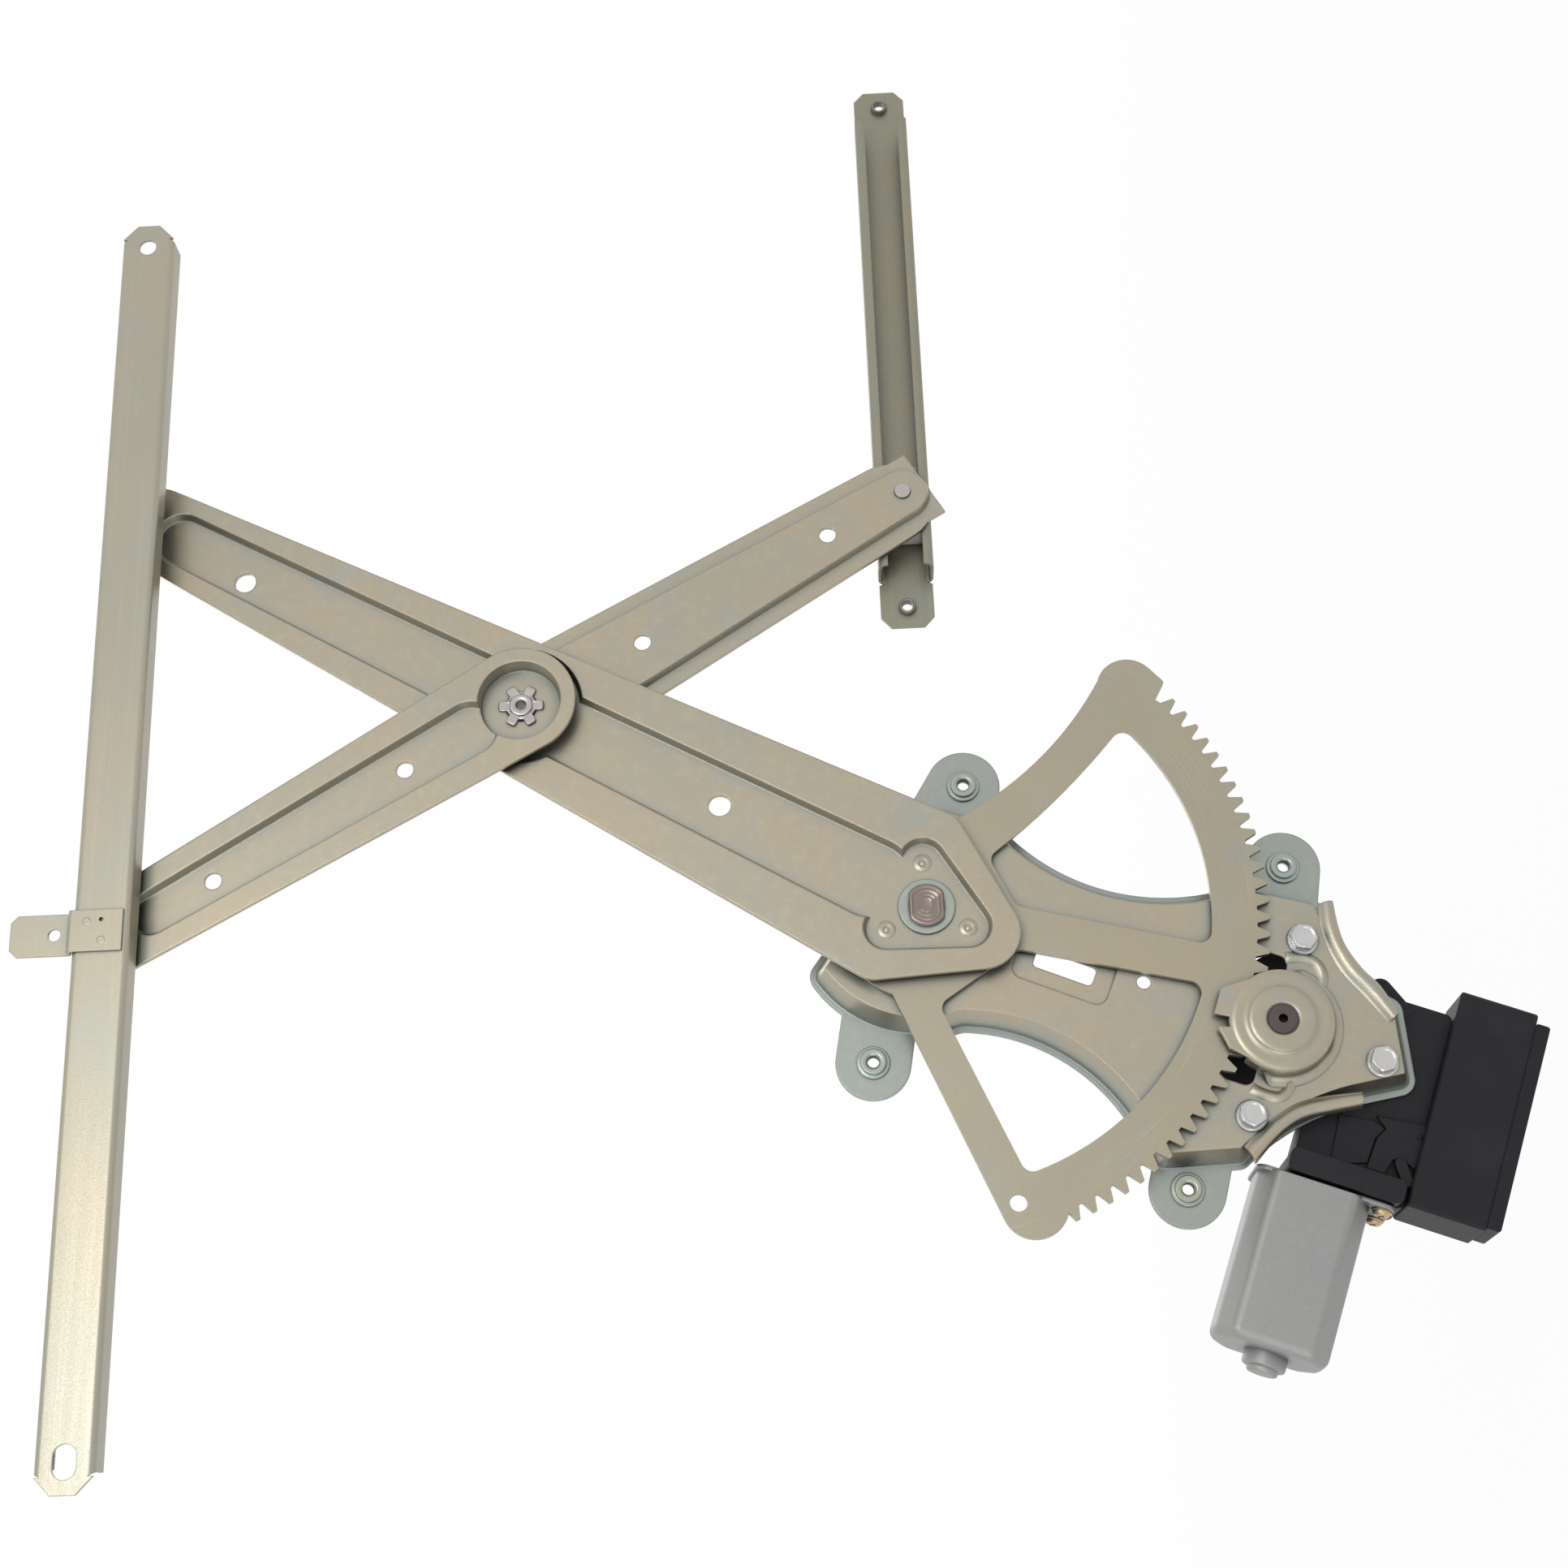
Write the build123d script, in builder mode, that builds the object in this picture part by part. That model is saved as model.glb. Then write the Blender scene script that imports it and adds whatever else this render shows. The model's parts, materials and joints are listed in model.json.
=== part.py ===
from build123d import *
import os
from math import acos, cos, degrees, pi, radians, sin, tan

# Window regulator with crossed arms, a toothed sector and an electric drive.
# +Z is the way the glass rises, X runs along the two rails, and -Y faces the door's outside.
# Depths are measured towards -Y from the back face of the sector plate.
# The origin is the main pivot.

# Linkage
arm_half = 198.0
arm_angle = 60.0
running_gap = 0.5
pivot_clearance = 0.08

# Sector and pinion
gear_module = 2.42
full_teeth = 118
sector_teeth = 36
first_tooth_angle = -51.3
pinion_teeth = 9
profile_shift = 0.45
pressure_angle = 20.0
backlash = 0.3
sector_thickness = 3.0
sector_rim_width = 19.0
sector_hub_radius = 40.0
middle_spoke_angle = -104.6
pinion_angle = -111.4
pinion_face_width = 9.0
pinion_shaft_diameter = 12.4
pinion_centre_hole = 3.8

# Lift arm
lift_sheet = 2.5
lift_draw = 4.0
lift_nose_radius = 16.0
lift_nose_reach = 26.0
lift_shoulder_radius = 12.0
lift_shoulder_offset = 28.5
lift_end_radius = 19.0
lift_pan_half_width = 17.5
lift_pan_end_half_width = 12.0
lift_boss_clear_radius = 26.5
weld_circle_radius = 19.6
weld_dimple_radius = 2.2
lift_hole_diameter = 9.6
wall_taper = 20.0

# Equalizer
equalizer_sheet = 2.0
equalizer_draw = 4.0
equalizer_boss_radius = 24.5
equalizer_recess_radius = 18.7
equalizer_end_radius = 18.0
equalizer_pan_half_width = 12.0
equalizer_hole_diameter = 7.4
rivet_radius = 6.9
rivet_hole_diameter = 4.6
rivet_collar_radius = 9.5
petal_reach = 9.9
petal_count = 6

# Rails and shoes
rail_sheet = 1.5
rail_width = 24.0
rail_depth = 14.0
rail_top = 340.0
rail_bottom = -228.0
rail_lip = 4.0
rail_hole_diameter = 7.8
rail_slot_length = 13.5
rail_slot_width = 9.5
rail_hole_inset = 11.5
rail_slot_inset = 12.5
rail_chamfer = 7.0
guide_width = 25.0
guide_depth = 15.0
guide_top = 429.0
guide_bottom = 140.0
guide_lip = 4.5
guide_end_open = 22.0
guide_boss_radius = 3.8
guide_boss_height = 3.0
guide_thread_radius = 2.5
guide_boss_inset = 9.5
guide_chamfer = 5.0
shoe_length = 34.0
shoe_gap = 0.4
stud_radius = 5.0
stud_rivet_radius = 3.5

# Bracket on the glass rail
bracket_sheet = 1.5
bracket_width = 18.0
bracket_centre = -2.5
bracket_reach = 21.5
bracket_seat = 22.0
bracket_seat_inset = 9.3
bracket_step = 5.0
bracket_hole_offset = 20.6
bracket_hole_diameter = 5.2

# Base plate
plate_sheet = 2.0
plate_draw = 12.0
plate_gap = 0.6
plate_taper = 22.0
drum_radius = 46.0
ear_radius = 16.0
ear_roots = [(38.0, -6.0), (-6.0, -150.0), (-38.0, 21.0), (-102.0, -106.0)]
nut_positions = [(60.0, -19.5), (16.3, -154.0), (-61.8, 25.4), (-120.6, -100.7)]
nut_flange_radius = 7.0
nut_flange_thickness = 1.2
nut_collar_radius = 6.6
nut_height = 3.2
nut_thread_radius = 2.5
bolt_positions = [(-19.8, -156.6), (-73.4, -183.5), (-93.6, -127.8)]
bolt_flange_radius = 6.7
bolt_flange_thickness = 1.2
bolt_hex_width = 10.0
bolt_head_height = 4.6
bolt_shank_radius = 3.0
bolt_length = 16.0
cap_radius = 21.5
cap_disc_radius = 14.0
cap_top = 8.0
cap_step = 1.6
pivot_pin_radius = 8.0
pivot_head_radius = 13.0
pivot_head_thickness = 2.5
pivot_washer_radius = 12.0
pivot_washer_thickness = 1.2
pivot_end_width = 18.4
pivot_end_flat = 14.6
pivot_end_height = 2.6

# Motor, gear housing and control module
motor_angle = 159.0
motor_offset = 32.4
can_width = 47.7
can_thickness = 38.0
can_start = 55.5
can_length = 71.5
can_boss_radius = 9.0
can_boss_length = 8.0
can_axis_depth = -26.0
can_flange_thickness = 2.0
housing_depth = 38.0
housing_wheel_radius = 33.0
housing_neck_radius = 18.0
housing_lug_radius = 4.5
housing_block_front = -7.0
screw_radius = 4.4
screw_thickness = 2.6
module_start = -41.0
module_length = 95.0
module_near = 69.0
module_width = 38.5
module_front = -9.0
module_depth = 30.0
module_cover_width = 6.0

# Derived levels, all measured towards the viewer
pitch_radius = gear_module * full_teeth / 2
tip_radius = pitch_radius + gear_module * (1 - profile_shift)
root_radius = pitch_radius - gear_module * (1.25 + profile_shift)
pinion_pitch_radius = gear_module * pinion_teeth / 2
pinion_tip_radius = pinion_pitch_radius + gear_module * (1 + profile_shift) - 0.4
pinion_root_radius = pinion_pitch_radius - gear_module * (1.25 - profile_shift)
centre_distance = pitch_radius + pinion_pitch_radius
rim_inner_radius = root_radius - sector_rim_width
lift_back = sector_thickness
lift_front = lift_back + lift_sheet
lift_rim_front = lift_front + lift_draw
front_half_back = lift_rim_front + running_gap
front_half_front = front_half_back + equalizer_sheet
front_rim_front = front_half_front + equalizer_draw
front_disc_back = lift_front + running_gap
rear_half_front = lift_back - running_gap
rear_half_back = rear_half_front - equalizer_sheet
rear_rim_back = rear_half_back - equalizer_draw
rail_lip_back = front_rim_front + 0.8
rail_front = rail_lip_back + rail_depth
guide_front = rear_rim_back - 0.8
guide_back = guide_front - guide_depth
plate_front = -plate_gap
plate_back = plate_front - plate_sheet
ear_front = plate_front - plate_draw
ear_back = ear_front - plate_sheet
housing_front = plate_back


def polar(radius, angle):
    """A point in the (X, Z) plane at a radius and an angle from +X."""
    return (radius * cos(radians(angle)), radius * sin(radians(angle)))


def level(depth):
    """The sketch plane at a depth, with local x along X and local y along Z."""
    return Plane.XZ.offset(depth)


def local_level(centre, angle, depth):
    """A sketch plane at a depth, with its origin at centre and its x axis turned by angle."""
    direction = (cos(radians(angle)), 0, sin(radians(angle)))
    return Plane(origin=(centre[0], -depth, centre[1]), x_dir=direction, z_dir=(0, -1, 0))


main_pivot = (0.0, 0.0)
centre_pivot = polar(arm_half, arm_angle)
lift_end = polar(2 * arm_half, arm_angle)
guide_end = (2 * arm_half * cos(radians(arm_angle)), 0.0)
glass_end = (0.0, 2 * arm_half * sin(radians(arm_angle)))
pinion_centre = polar(centre_distance, pinion_angle)
rail_line = glass_end[1]
front_half_angle = 180 - arm_angle
rear_half_angle = -arm_angle

os.makedirs("parts", exist_ok=True)


# Sector gear: a flat plate with teeth on an arc, three spokes and two open windows
upper_window = [polar(35.0, -51.5), polar(89.0, -50.2), polar(119.3, -48.2)]
lower_spoke = [(-31.5, 18.2), (-132.4, -24.3)]
upper_lobe = (97.0, -92.8)
upper_lobe_radius = 13.2
upper_corner = (98.6, -107.0)
upper_corner_radius = 1.6
lower_lobe = (-127.0, -37.0)
lower_lobe_radius = 13.8
sector_hole = (-125.9, -30.3)
sector_hole_diameter = 7.2
tooth_pitch = 360 / full_teeth
last_tooth_angle = first_tooth_angle - (sector_teeth - 1) * tooth_pitch
window_corner = 5.0


def sector_tooth(angle):
    """The corners of one sector tooth, from root to tip and back."""
    pitch_half = (gear_module * (pi / 2 - 2 * profile_shift * tan(radians(pressure_angle))) - backlash) / 2
    corners = []
    for side in (1, -1):
        flank = []
        for radius in (root_radius - 0.5, pitch_radius, tip_radius):
            half = pitch_half - (radius - pitch_radius) * tan(radians(pressure_angle))
            flank.append(polar(radius, angle + side * degrees(half / radius)))
        corners += flank if side == 1 else flank[::-1]
    return corners


with BuildPart() as sector_gear:
    with BuildSketch(level(0)):
        with BuildLine():
            rim_start = polar(root_radius, first_tooth_angle + tooth_pitch / 2)
            rim_end = polar(root_radius, last_tooth_angle - tooth_pitch / 2)
            rim_middle = polar(root_radius, (first_tooth_angle + last_tooth_angle) / 2)
            ThreePointArc(rim_start, rim_middle, rim_end)
            Line(rim_end, lower_spoke[1])
            Line(lower_spoke[1], lower_spoke[0])
            Line(lower_spoke[0], (40.3, -16.3))
            ThreePointArc((40.3, -16.3), (74.0, -60.5), (104.0, -82.0))
            Line((104.0, -82.0), rim_start)
        make_face()
        with Locations(main_pivot):
            Circle(sector_hub_radius)
        with BuildSketch(mode=Mode.PRIVATE) as upper_end:
            with Locations(upper_lobe):
                Circle(upper_lobe_radius)
            with Locations(upper_corner):
                Circle(upper_corner_radius)
            make_hull()
        add(upper_end.sketch)
        with Locations(lower_lobe):
            Circle(lower_lobe_radius)
        for index in range(sector_teeth):
            with BuildLine():
                Polyline(*sector_tooth(first_tooth_angle - index * tooth_pitch), close=True)
            make_face()
        with BuildSketch(mode=Mode.PRIVATE) as upper_opening:
            spoke_edge = polar(38.0, middle_spoke_angle + 14.0)
            spoke_end = polar(rim_inner_radius, middle_spoke_angle + 4.4)
            with BuildLine():
                ThreePointArc(upper_window[0], upper_window[1], upper_window[2])
                ThreePointArc(upper_window[2], polar(rim_inner_radius, -72.0), spoke_end)
                Line(spoke_end, spoke_edge)
                Line(spoke_edge, upper_window[0])
            make_face()
            fillet(upper_opening.vertices(), window_corner)
        add(upper_opening.sketch, mode=Mode.SUBTRACT)
        with BuildSketch(mode=Mode.PRIVATE) as lower_opening:
            spoke_edge = polar(42.0, middle_spoke_angle - 12.8)
            spoke_end = polar(rim_inner_radius, middle_spoke_angle - 3.8)
            with BuildLine():
                Line(spoke_edge, spoke_end)
                ThreePointArc(spoke_end, polar(rim_inner_radius, -136.0), polar(rim_inner_radius, -163.3))
                Line(polar(rim_inner_radius, -163.3), polar(42.0, -176.0))
                Line(polar(42.0, -176.0), spoke_edge)
            make_face()
            fillet(lower_opening.vertices(), window_corner)
        add(lower_opening.sketch, mode=Mode.SUBTRACT)
        with Locations(main_pivot):
            Circle(pivot_pin_radius + pivot_clearance, mode=Mode.SUBTRACT)
        with Locations(sector_hole):
            Circle(sector_hole_diameter / 2, mode=Mode.SUBTRACT)
    extrude(amount=sector_thickness)
sector_gear.part.label = "sector_gear"
export_step(sector_gear.part, "parts/sector_gear.step")


# Lift arm: a long pressed arm with a deep pan, raised rims and a trefoil end round the pivot
def lift_pan(grow):
    """The convex outlines that make up the arm's pan, grown outwards by a wall."""
    with BuildSketch(mode=Mode.PRIVATE) as trefoil:
        for turn in (-58.0, 58.0, 180.0):
            with Locations(polar(weld_circle_radius, turn)):
                Circle(9.6 + grow)
        make_hull()
    with BuildSketch(mode=Mode.PRIVATE) as trough:
        with Locations((26.0, 0)):
            Circle(lift_pan_half_width + grow)
        with Locations((2 * arm_half - 20.0, 0)):
            Circle(lift_pan_end_half_width + grow)
        make_hull()
    with BuildSketch(mode=Mode.PRIVATE) as boss_clearance:
        with Locations((arm_half, 0)):
            Circle(lift_boss_clear_radius + grow)
    return [trefoil.sketch, trough.sketch, boss_clearance.sketch]


with BuildPart() as lift_arm:
    with BuildSketch(local_level(main_pivot, arm_angle, lift_rim_front - lift_sheet)):
        with Locations((-lift_nose_reach, 0)):
            Circle(lift_nose_radius)
        with Locations((10.0, lift_shoulder_offset), (10.0, -lift_shoulder_offset)):
            Circle(lift_shoulder_radius)
        with Locations((2 * arm_half - 6.0, 0)):
            Circle(lift_end_radius)
        make_hull()
    extrude(amount=lift_sheet)
    for outline in lift_pan(0.6):
        with BuildSketch(local_level(main_pivot, arm_angle, lift_back)):
            add(outline)
        extrude(amount=lift_rim_front - lift_back, taper=-wall_taper)
    for outline in lift_pan(-1.0):
        with BuildSketch(local_level(main_pivot, arm_angle, lift_front)):
            add(outline)
        extrude(amount=lift_rim_front - lift_front, taper=-wall_taper, mode=Mode.SUBTRACT)
    with BuildSketch(local_level(main_pivot, arm_angle, lift_front)):
        for turn in (-58.0, 58.0, 180.0):
            with Locations(polar(weld_circle_radius, turn)):
                Circle(weld_dimple_radius)
    extrude(amount=-0.5, mode=Mode.SUBTRACT)
    with BuildSketch(local_level(main_pivot, arm_angle, lift_back)):
        Circle(pivot_pin_radius + pivot_clearance)
        with Locations((99.5, 0), (340.0, 4.0)):
            Circle(lift_hole_diameter / 2)
        with Locations((arm_half, 0)):
            Circle(rivet_collar_radius + pivot_clearance)
        with Locations((2 * arm_half, 0)):
            Circle(stud_rivet_radius)
    extrude(amount=lift_rim_front - lift_back, mode=Mode.SUBTRACT)
lift_arm.part.label = "lift_arm"
export_step(lift_arm.part, "parts/lift_arm.step")


# Equalizer front half: it lies over the lift arm, with a ring and a sunk disc at the centre pivot
def front_pan(grow):
    """The front half's pan outline, from beside the boss to the glass end."""
    with BuildSketch(mode=Mode.PRIVATE) as pan:
        with Locations((equalizer_recess_radius + 6.0, 0)):
            Circle(equalizer_pan_half_width + grow)
        with Locations((arm_half - 18.0, 0)):
            Circle(equalizer_pan_half_width - 3.0 + grow)
        make_hull()
    return pan.sketch


with BuildPart() as equalizer_front:
    with BuildSketch(local_level(centre_pivot, front_half_angle, front_rim_front - equalizer_sheet)):
        Circle(equalizer_boss_radius)
        with Locations((arm_half, 0)):
            Circle(equalizer_end_radius)
        make_hull()
    extrude(amount=equalizer_sheet)
    with BuildSketch(local_level(centre_pivot, front_half_angle, front_half_back)):
        add(front_pan(0.6))
    extrude(amount=front_rim_front - front_half_back, taper=-wall_taper)
    with BuildSketch(local_level(centre_pivot, front_half_angle, front_disc_back)):
        Circle(equalizer_recess_radius)
    extrude(amount=front_rim_front - front_disc_back, taper=-8.0)
    with BuildSketch(local_level(centre_pivot, front_half_angle, front_half_front)):
        add(front_pan(-0.8))
    extrude(amount=front_rim_front - front_half_front, taper=-wall_taper, mode=Mode.SUBTRACT)
    with BuildSketch(local_level(centre_pivot, front_half_angle, front_disc_back + equalizer_sheet)):
        Circle(equalizer_recess_radius - 1.6)
    extrude(amount=front_rim_front - front_disc_back, taper=-8.0, mode=Mode.SUBTRACT)
    with BuildSketch(local_level(centre_pivot, front_half_angle, front_disc_back)):
        Circle(rivet_radius)
        with Locations((57.5, 0), (151.0, 0)):
            Circle(equalizer_hole_diameter / 2)
        with Locations((arm_half, 0)):
            Circle(stud_rivet_radius)
    extrude(amount=front_rim_front - front_disc_back, mode=Mode.SUBTRACT)
equalizer_front.part.label = "equalizer_front_half"
export_step(equalizer_front.part, "parts/equalizer_front_half.step")


# Equalizer rear half: a hat section behind the lift arm, its pan raised towards the viewer
def rear_pan(grow):
    """The rear half's raised panel outline."""
    with BuildSketch(mode=Mode.PRIVATE) as pan:
        Circle(equalizer_recess_radius + grow)
        with Locations((arm_half, 0)):
            Circle(equalizer_pan_half_width - 1.0 + grow)
        make_hull()
    return pan.sketch


with BuildPart() as equalizer_rear:
    with BuildSketch(local_level(centre_pivot, rear_half_angle, rear_rim_back)):
        Circle(equalizer_boss_radius + 2.0)
        with Locations((arm_half - 7.0, 0)):
            Circle(equalizer_end_radius + 1.5)
        make_hull()
        with Locations((arm_half, 0)):
            Rectangle(24.0, 34.0)
    extrude(amount=equalizer_sheet)
    with BuildSketch(local_level(centre_pivot, rear_half_angle, rear_half_front)):
        add(rear_pan(0.0))
    extrude(amount=-(rear_half_front - rear_rim_back), taper=-wall_taper)
    with BuildSketch(local_level(centre_pivot, rear_half_angle, rear_half_back)):
        add(rear_pan(-1.6))
    extrude(amount=-(rear_half_back - rear_rim_back), taper=-wall_taper, mode=Mode.SUBTRACT)
    with BuildSketch(local_level(centre_pivot, rear_half_angle, rear_rim_back)):
        Circle(rivet_radius)
        with Locations((61.0, 0), (158.0, 0)):
            Circle(equalizer_hole_diameter / 2)
        with Locations((arm_half, 0)):
            Circle(stud_rivet_radius)
    extrude(amount=rear_half_front - rear_rim_back, mode=Mode.SUBTRACT)
equalizer_rear.part.label = "equalizer_rear_half"
export_step(equalizer_rear.part, "parts/equalizer_rear_half.step")


# Centre rivet: a tube with a collar that spaces the halves and petals staked over the front
with BuildPart() as centre_rivet:
    with BuildSketch(local_level(centre_pivot, front_half_angle, rear_half_back)):
        Circle(rivet_radius)
    extrude(amount=front_disc_back + equalizer_sheet + 2.4 - rear_half_back)
    with BuildSketch(local_level(centre_pivot, front_half_angle, rear_half_front)):
        Circle(rivet_collar_radius)
    extrude(amount=front_disc_back - rear_half_front)
    with BuildSketch(local_level(centre_pivot, front_half_angle, rear_half_back)):
        Circle(rivet_collar_radius)
    extrude(amount=-1.5)
    with BuildSketch(local_level(centre_pivot, front_half_angle, front_disc_back + equalizer_sheet)):
        with PolarLocations(petal_reach - 3.0, petal_count, start_angle=30):
            SlotOverall(7.0, 5.0, rotation=0)
    extrude(amount=1.5)
    with BuildSketch(local_level(centre_pivot, front_half_angle, rear_half_back - 1.5)):
        Circle(rivet_hole_diameter / 2)
    extrude(amount=front_rim_front, mode=Mode.SUBTRACT)
centre_rivet.part.label = "centre_rivet"
export_step(centre_rivet.part, "parts/centre_rivet.step")


# Studs and sliding shoes
def stud(centre, seat, tip, head):
    """A shouldered stud riveted into an arm: it runs from its seat to its tip."""
    towards = 1 if tip > seat else -1
    with BuildPart() as piece:
        with BuildSketch(level(seat)):
            with Locations(centre):
                Circle(stud_radius)
        extrude(amount=tip - seat)
        with BuildSketch(level(seat)):
            with Locations(centre):
                Circle(stud_rivet_radius)
        extrude(amount=head - seat)
        chamfer(piece.faces().sort_by(Axis.Y)[0 if towards == 1 else -1].edges(), 0.6)
    return piece.part


def shoe(centre, depth_from, depth_to, width, bore_from, bore_to):
    """A moulded sliding shoe with rounded ends, guide grooves and a blind bore for its stud."""
    with BuildPart() as piece:
        with BuildSketch(level(depth_from)):
            with Locations(centre):
                RectangleRounded(shoe_length, width, 4.0)
        extrude(amount=depth_to - depth_from)
        with BuildSketch(level(depth_to)):
            with Locations((centre[0] + shoe_length / 3, centre[1]), (centre[0] - shoe_length / 3, centre[1])):
                Rectangle(3.0, width - 6.0)
        extrude(amount=-3.0, mode=Mode.SUBTRACT)
        with BuildSketch(level(bore_from)):
            with Locations(centre):
                Circle(stud_radius + pivot_clearance)
        extrude(amount=bore_to - bore_from, mode=Mode.SUBTRACT)
    return piece.part


rail_space_back = rail_lip_back + rail_sheet + shoe_gap
rail_space_front = rail_front - rail_sheet - shoe_gap
guide_space_front = guide_front - rail_sheet - shoe_gap
guide_space_back = guide_back + rail_sheet + shoe_gap
rail_shoe_width = rail_width - 2 * (rail_sheet + shoe_gap)
guide_shoe_width = guide_width - 2 * (rail_sheet + shoe_gap)
stud_rail_tip = rail_space_front - 2.0
stud_guide_tip = guide_space_back + 2.0

lift_stud = stud(lift_end, lift_rim_front, stud_rail_tip, lift_rim_front - lift_sheet - 1.0)
lift_stud.label = "lift_stud"
export_step(lift_stud, "parts/lift_stud.step")

glass_stud = stud(glass_end, front_rim_front, stud_rail_tip, front_rim_front - equalizer_sheet - 1.0)
glass_stud.label = "glass_stud"
export_step(glass_stud, "parts/glass_stud.step")

guide_stud = stud(guide_end, rear_half_back, stud_guide_tip, rear_half_front + 1.2)
guide_stud.label = "guide_stud"
export_step(guide_stud, "parts/guide_stud.step")

lift_shoe = shoe(lift_end, rail_space_back, rail_space_front, rail_shoe_width,
                 rail_space_back, stud_rail_tip + shoe_gap)
lift_shoe.label = "lift_shoe"
export_step(lift_shoe, "parts/lift_shoe.step")

glass_shoe = shoe(glass_end, rail_space_back, rail_space_front, rail_shoe_width,
                  rail_space_back, stud_rail_tip + shoe_gap)
glass_shoe.label = "glass_shoe"
export_step(glass_shoe, "parts/glass_shoe.step")

guide_shoe = shoe(guide_end, guide_space_front, guide_space_back, guide_shoe_width,
                  guide_space_front, stud_guide_tip - shoe_gap)
guide_shoe.label = "guide_shoe"
export_step(guide_shoe, "parts/guide_shoe.step")


# Glass rail and guide channel: C sections made of a web, two side walls and two lips
def strip(ends, sides, depths):
    """A straight strip of sheet that runs along X between two ends."""
    with BuildPart() as piece:
        with BuildSketch(level(depths[0])):
            with Locations((sum(ends) / 2, sum(sides) / 2)):
                Rectangle(abs(ends[1] - ends[0]), abs(sides[1] - sides[0]))
        extrude(amount=depths[1] - depths[0])
    return piece.part


def walls_and_lips(name, line, width, lip, ends, web_face, lip_face):
    """Saves a channel's two walls and two lips, from the web's inner face to the lips' outer face."""
    towards = 1 if lip_face > web_face else -1
    lip_inner = lip_face - towards * rail_sheet
    for side_name, side in (("upper", 1), ("lower", -1)):
        outer = line + side * width / 2
        inner = outer - side * rail_sheet
        wall = strip(ends, (inner, outer), (web_face, lip_face))
        wall.label = f"{name}_{side_name}_wall"
        export_step(wall, f"parts/{wall.label}.step")
        fold = strip(ends, (outer - side * lip, inner), (lip_inner, lip_face))
        fold.label = f"{name}_{side_name}_lip"
        export_step(fold, f"parts/{fold.label}.step")


with BuildPart() as glass_rail_web:
    with BuildSketch(level(rail_front - rail_sheet)) as web_outline:
        with Locations(((rail_top + rail_bottom) / 2, rail_line)):
            Rectangle(rail_top - rail_bottom, rail_width)
        chamfer(web_outline.vertices(), rail_chamfer)
        with Locations((rail_top - rail_hole_inset, rail_line)):
            Circle(rail_hole_diameter / 2, mode=Mode.SUBTRACT)
        with Locations((rail_bottom + rail_slot_inset, rail_line)):
            SlotOverall(rail_slot_length, rail_slot_width, mode=Mode.SUBTRACT)
    extrude(amount=rail_sheet)
glass_rail_web.part.label = "glass_rail_web"
export_step(glass_rail_web.part, "parts/glass_rail_web.step")

rail_ends = (rail_bottom + rail_chamfer, rail_top - rail_chamfer)
walls_and_lips("glass_rail", rail_line, rail_width, rail_lip, rail_ends, rail_front - rail_sheet, rail_lip_back)


# Bracket: a flat seat spot-welded to the rail's web, and the stepped tab that carries the bolt hole
seat_edge = rail_line - bracket_seat_inset
outer_end = bracket_seat + bracket_step + bracket_reach
bracket_side = Plane(origin=(bracket_centre - bracket_width / 2, -rail_front, seat_edge), x_dir=(0, 0, 1),
                     z_dir=(1, 0, 0))
with BuildPart() as rail_bracket_seat:
    with BuildSketch(bracket_side):
        Rectangle(bracket_seat, bracket_sheet, align=(Align.MIN, Align.MIN))
    extrude(amount=bracket_width)
rail_bracket_seat.part.label = "rail_bracket_seat"
export_step(rail_bracket_seat.part, "parts/rail_bracket_seat.step")

with BuildPart() as rail_bracket:
    with BuildSketch(bracket_side):
        with BuildLine():
            Polyline(
                (bracket_seat, -bracket_step),
                (outer_end, -bracket_step),
                (outer_end, bracket_sheet - bracket_step),
                (bracket_seat + bracket_sheet, bracket_sheet - bracket_step),
                (bracket_seat + bracket_sheet, bracket_sheet),
                (bracket_seat, bracket_sheet),
                close=True,
            )
        make_face()
    extrude(amount=bracket_width)
    chamfer(rail_bracket.edges().filter_by(Axis.Y).group_by(Axis.Z)[-1], 3.0)
    with BuildSketch(level(rail_front - bracket_step)):
        with Locations((bracket_centre, rail_line + bracket_hole_offset)):
            Circle(bracket_hole_diameter / 2)
    extrude(amount=bracket_sheet, mode=Mode.SUBTRACT)
rail_bracket.part.label = "rail_bracket"
export_step(rail_bracket.part, "parts/rail_bracket.step")


# Guide channel: open to the viewer, with a threaded boss at each end of its web
boss_places = [(guide_top - guide_boss_inset, 0), (guide_bottom + guide_boss_inset, 0)]
with BuildPart() as guide_channel_web:
    with BuildSketch(level(guide_back)) as web_outline:
        with Locations(((guide_top + guide_bottom) / 2, 0)):
            Rectangle(guide_top - guide_bottom, guide_width)
        chamfer(web_outline.vertices(), guide_chamfer)
        with Locations(*boss_places):
            Circle(guide_thread_radius, mode=Mode.SUBTRACT)
    extrude(amount=rail_sheet)
guide_channel_web.part.label = "guide_channel_web"
export_step(guide_channel_web.part, "parts/guide_channel_web.step")

for number, place in enumerate(boss_places, 1):
    with BuildPart() as guide_boss:
        with BuildSketch(level(guide_back + rail_sheet)):
            with Locations(place):
                Circle(guide_boss_radius)
                Circle(guide_thread_radius, mode=Mode.SUBTRACT)
        extrude(amount=guide_boss_height)
    guide_boss.part.label = f"guide_boss_{number}"
    export_step(guide_boss.part, f"parts/guide_boss_{number}.step")

guide_ends = (guide_bottom + guide_end_open, guide_top - guide_end_open)
walls_and_lips("guide_channel", 0.0, guide_width, guide_lip, guide_ends, guide_back + rail_sheet, guide_front)


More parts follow.
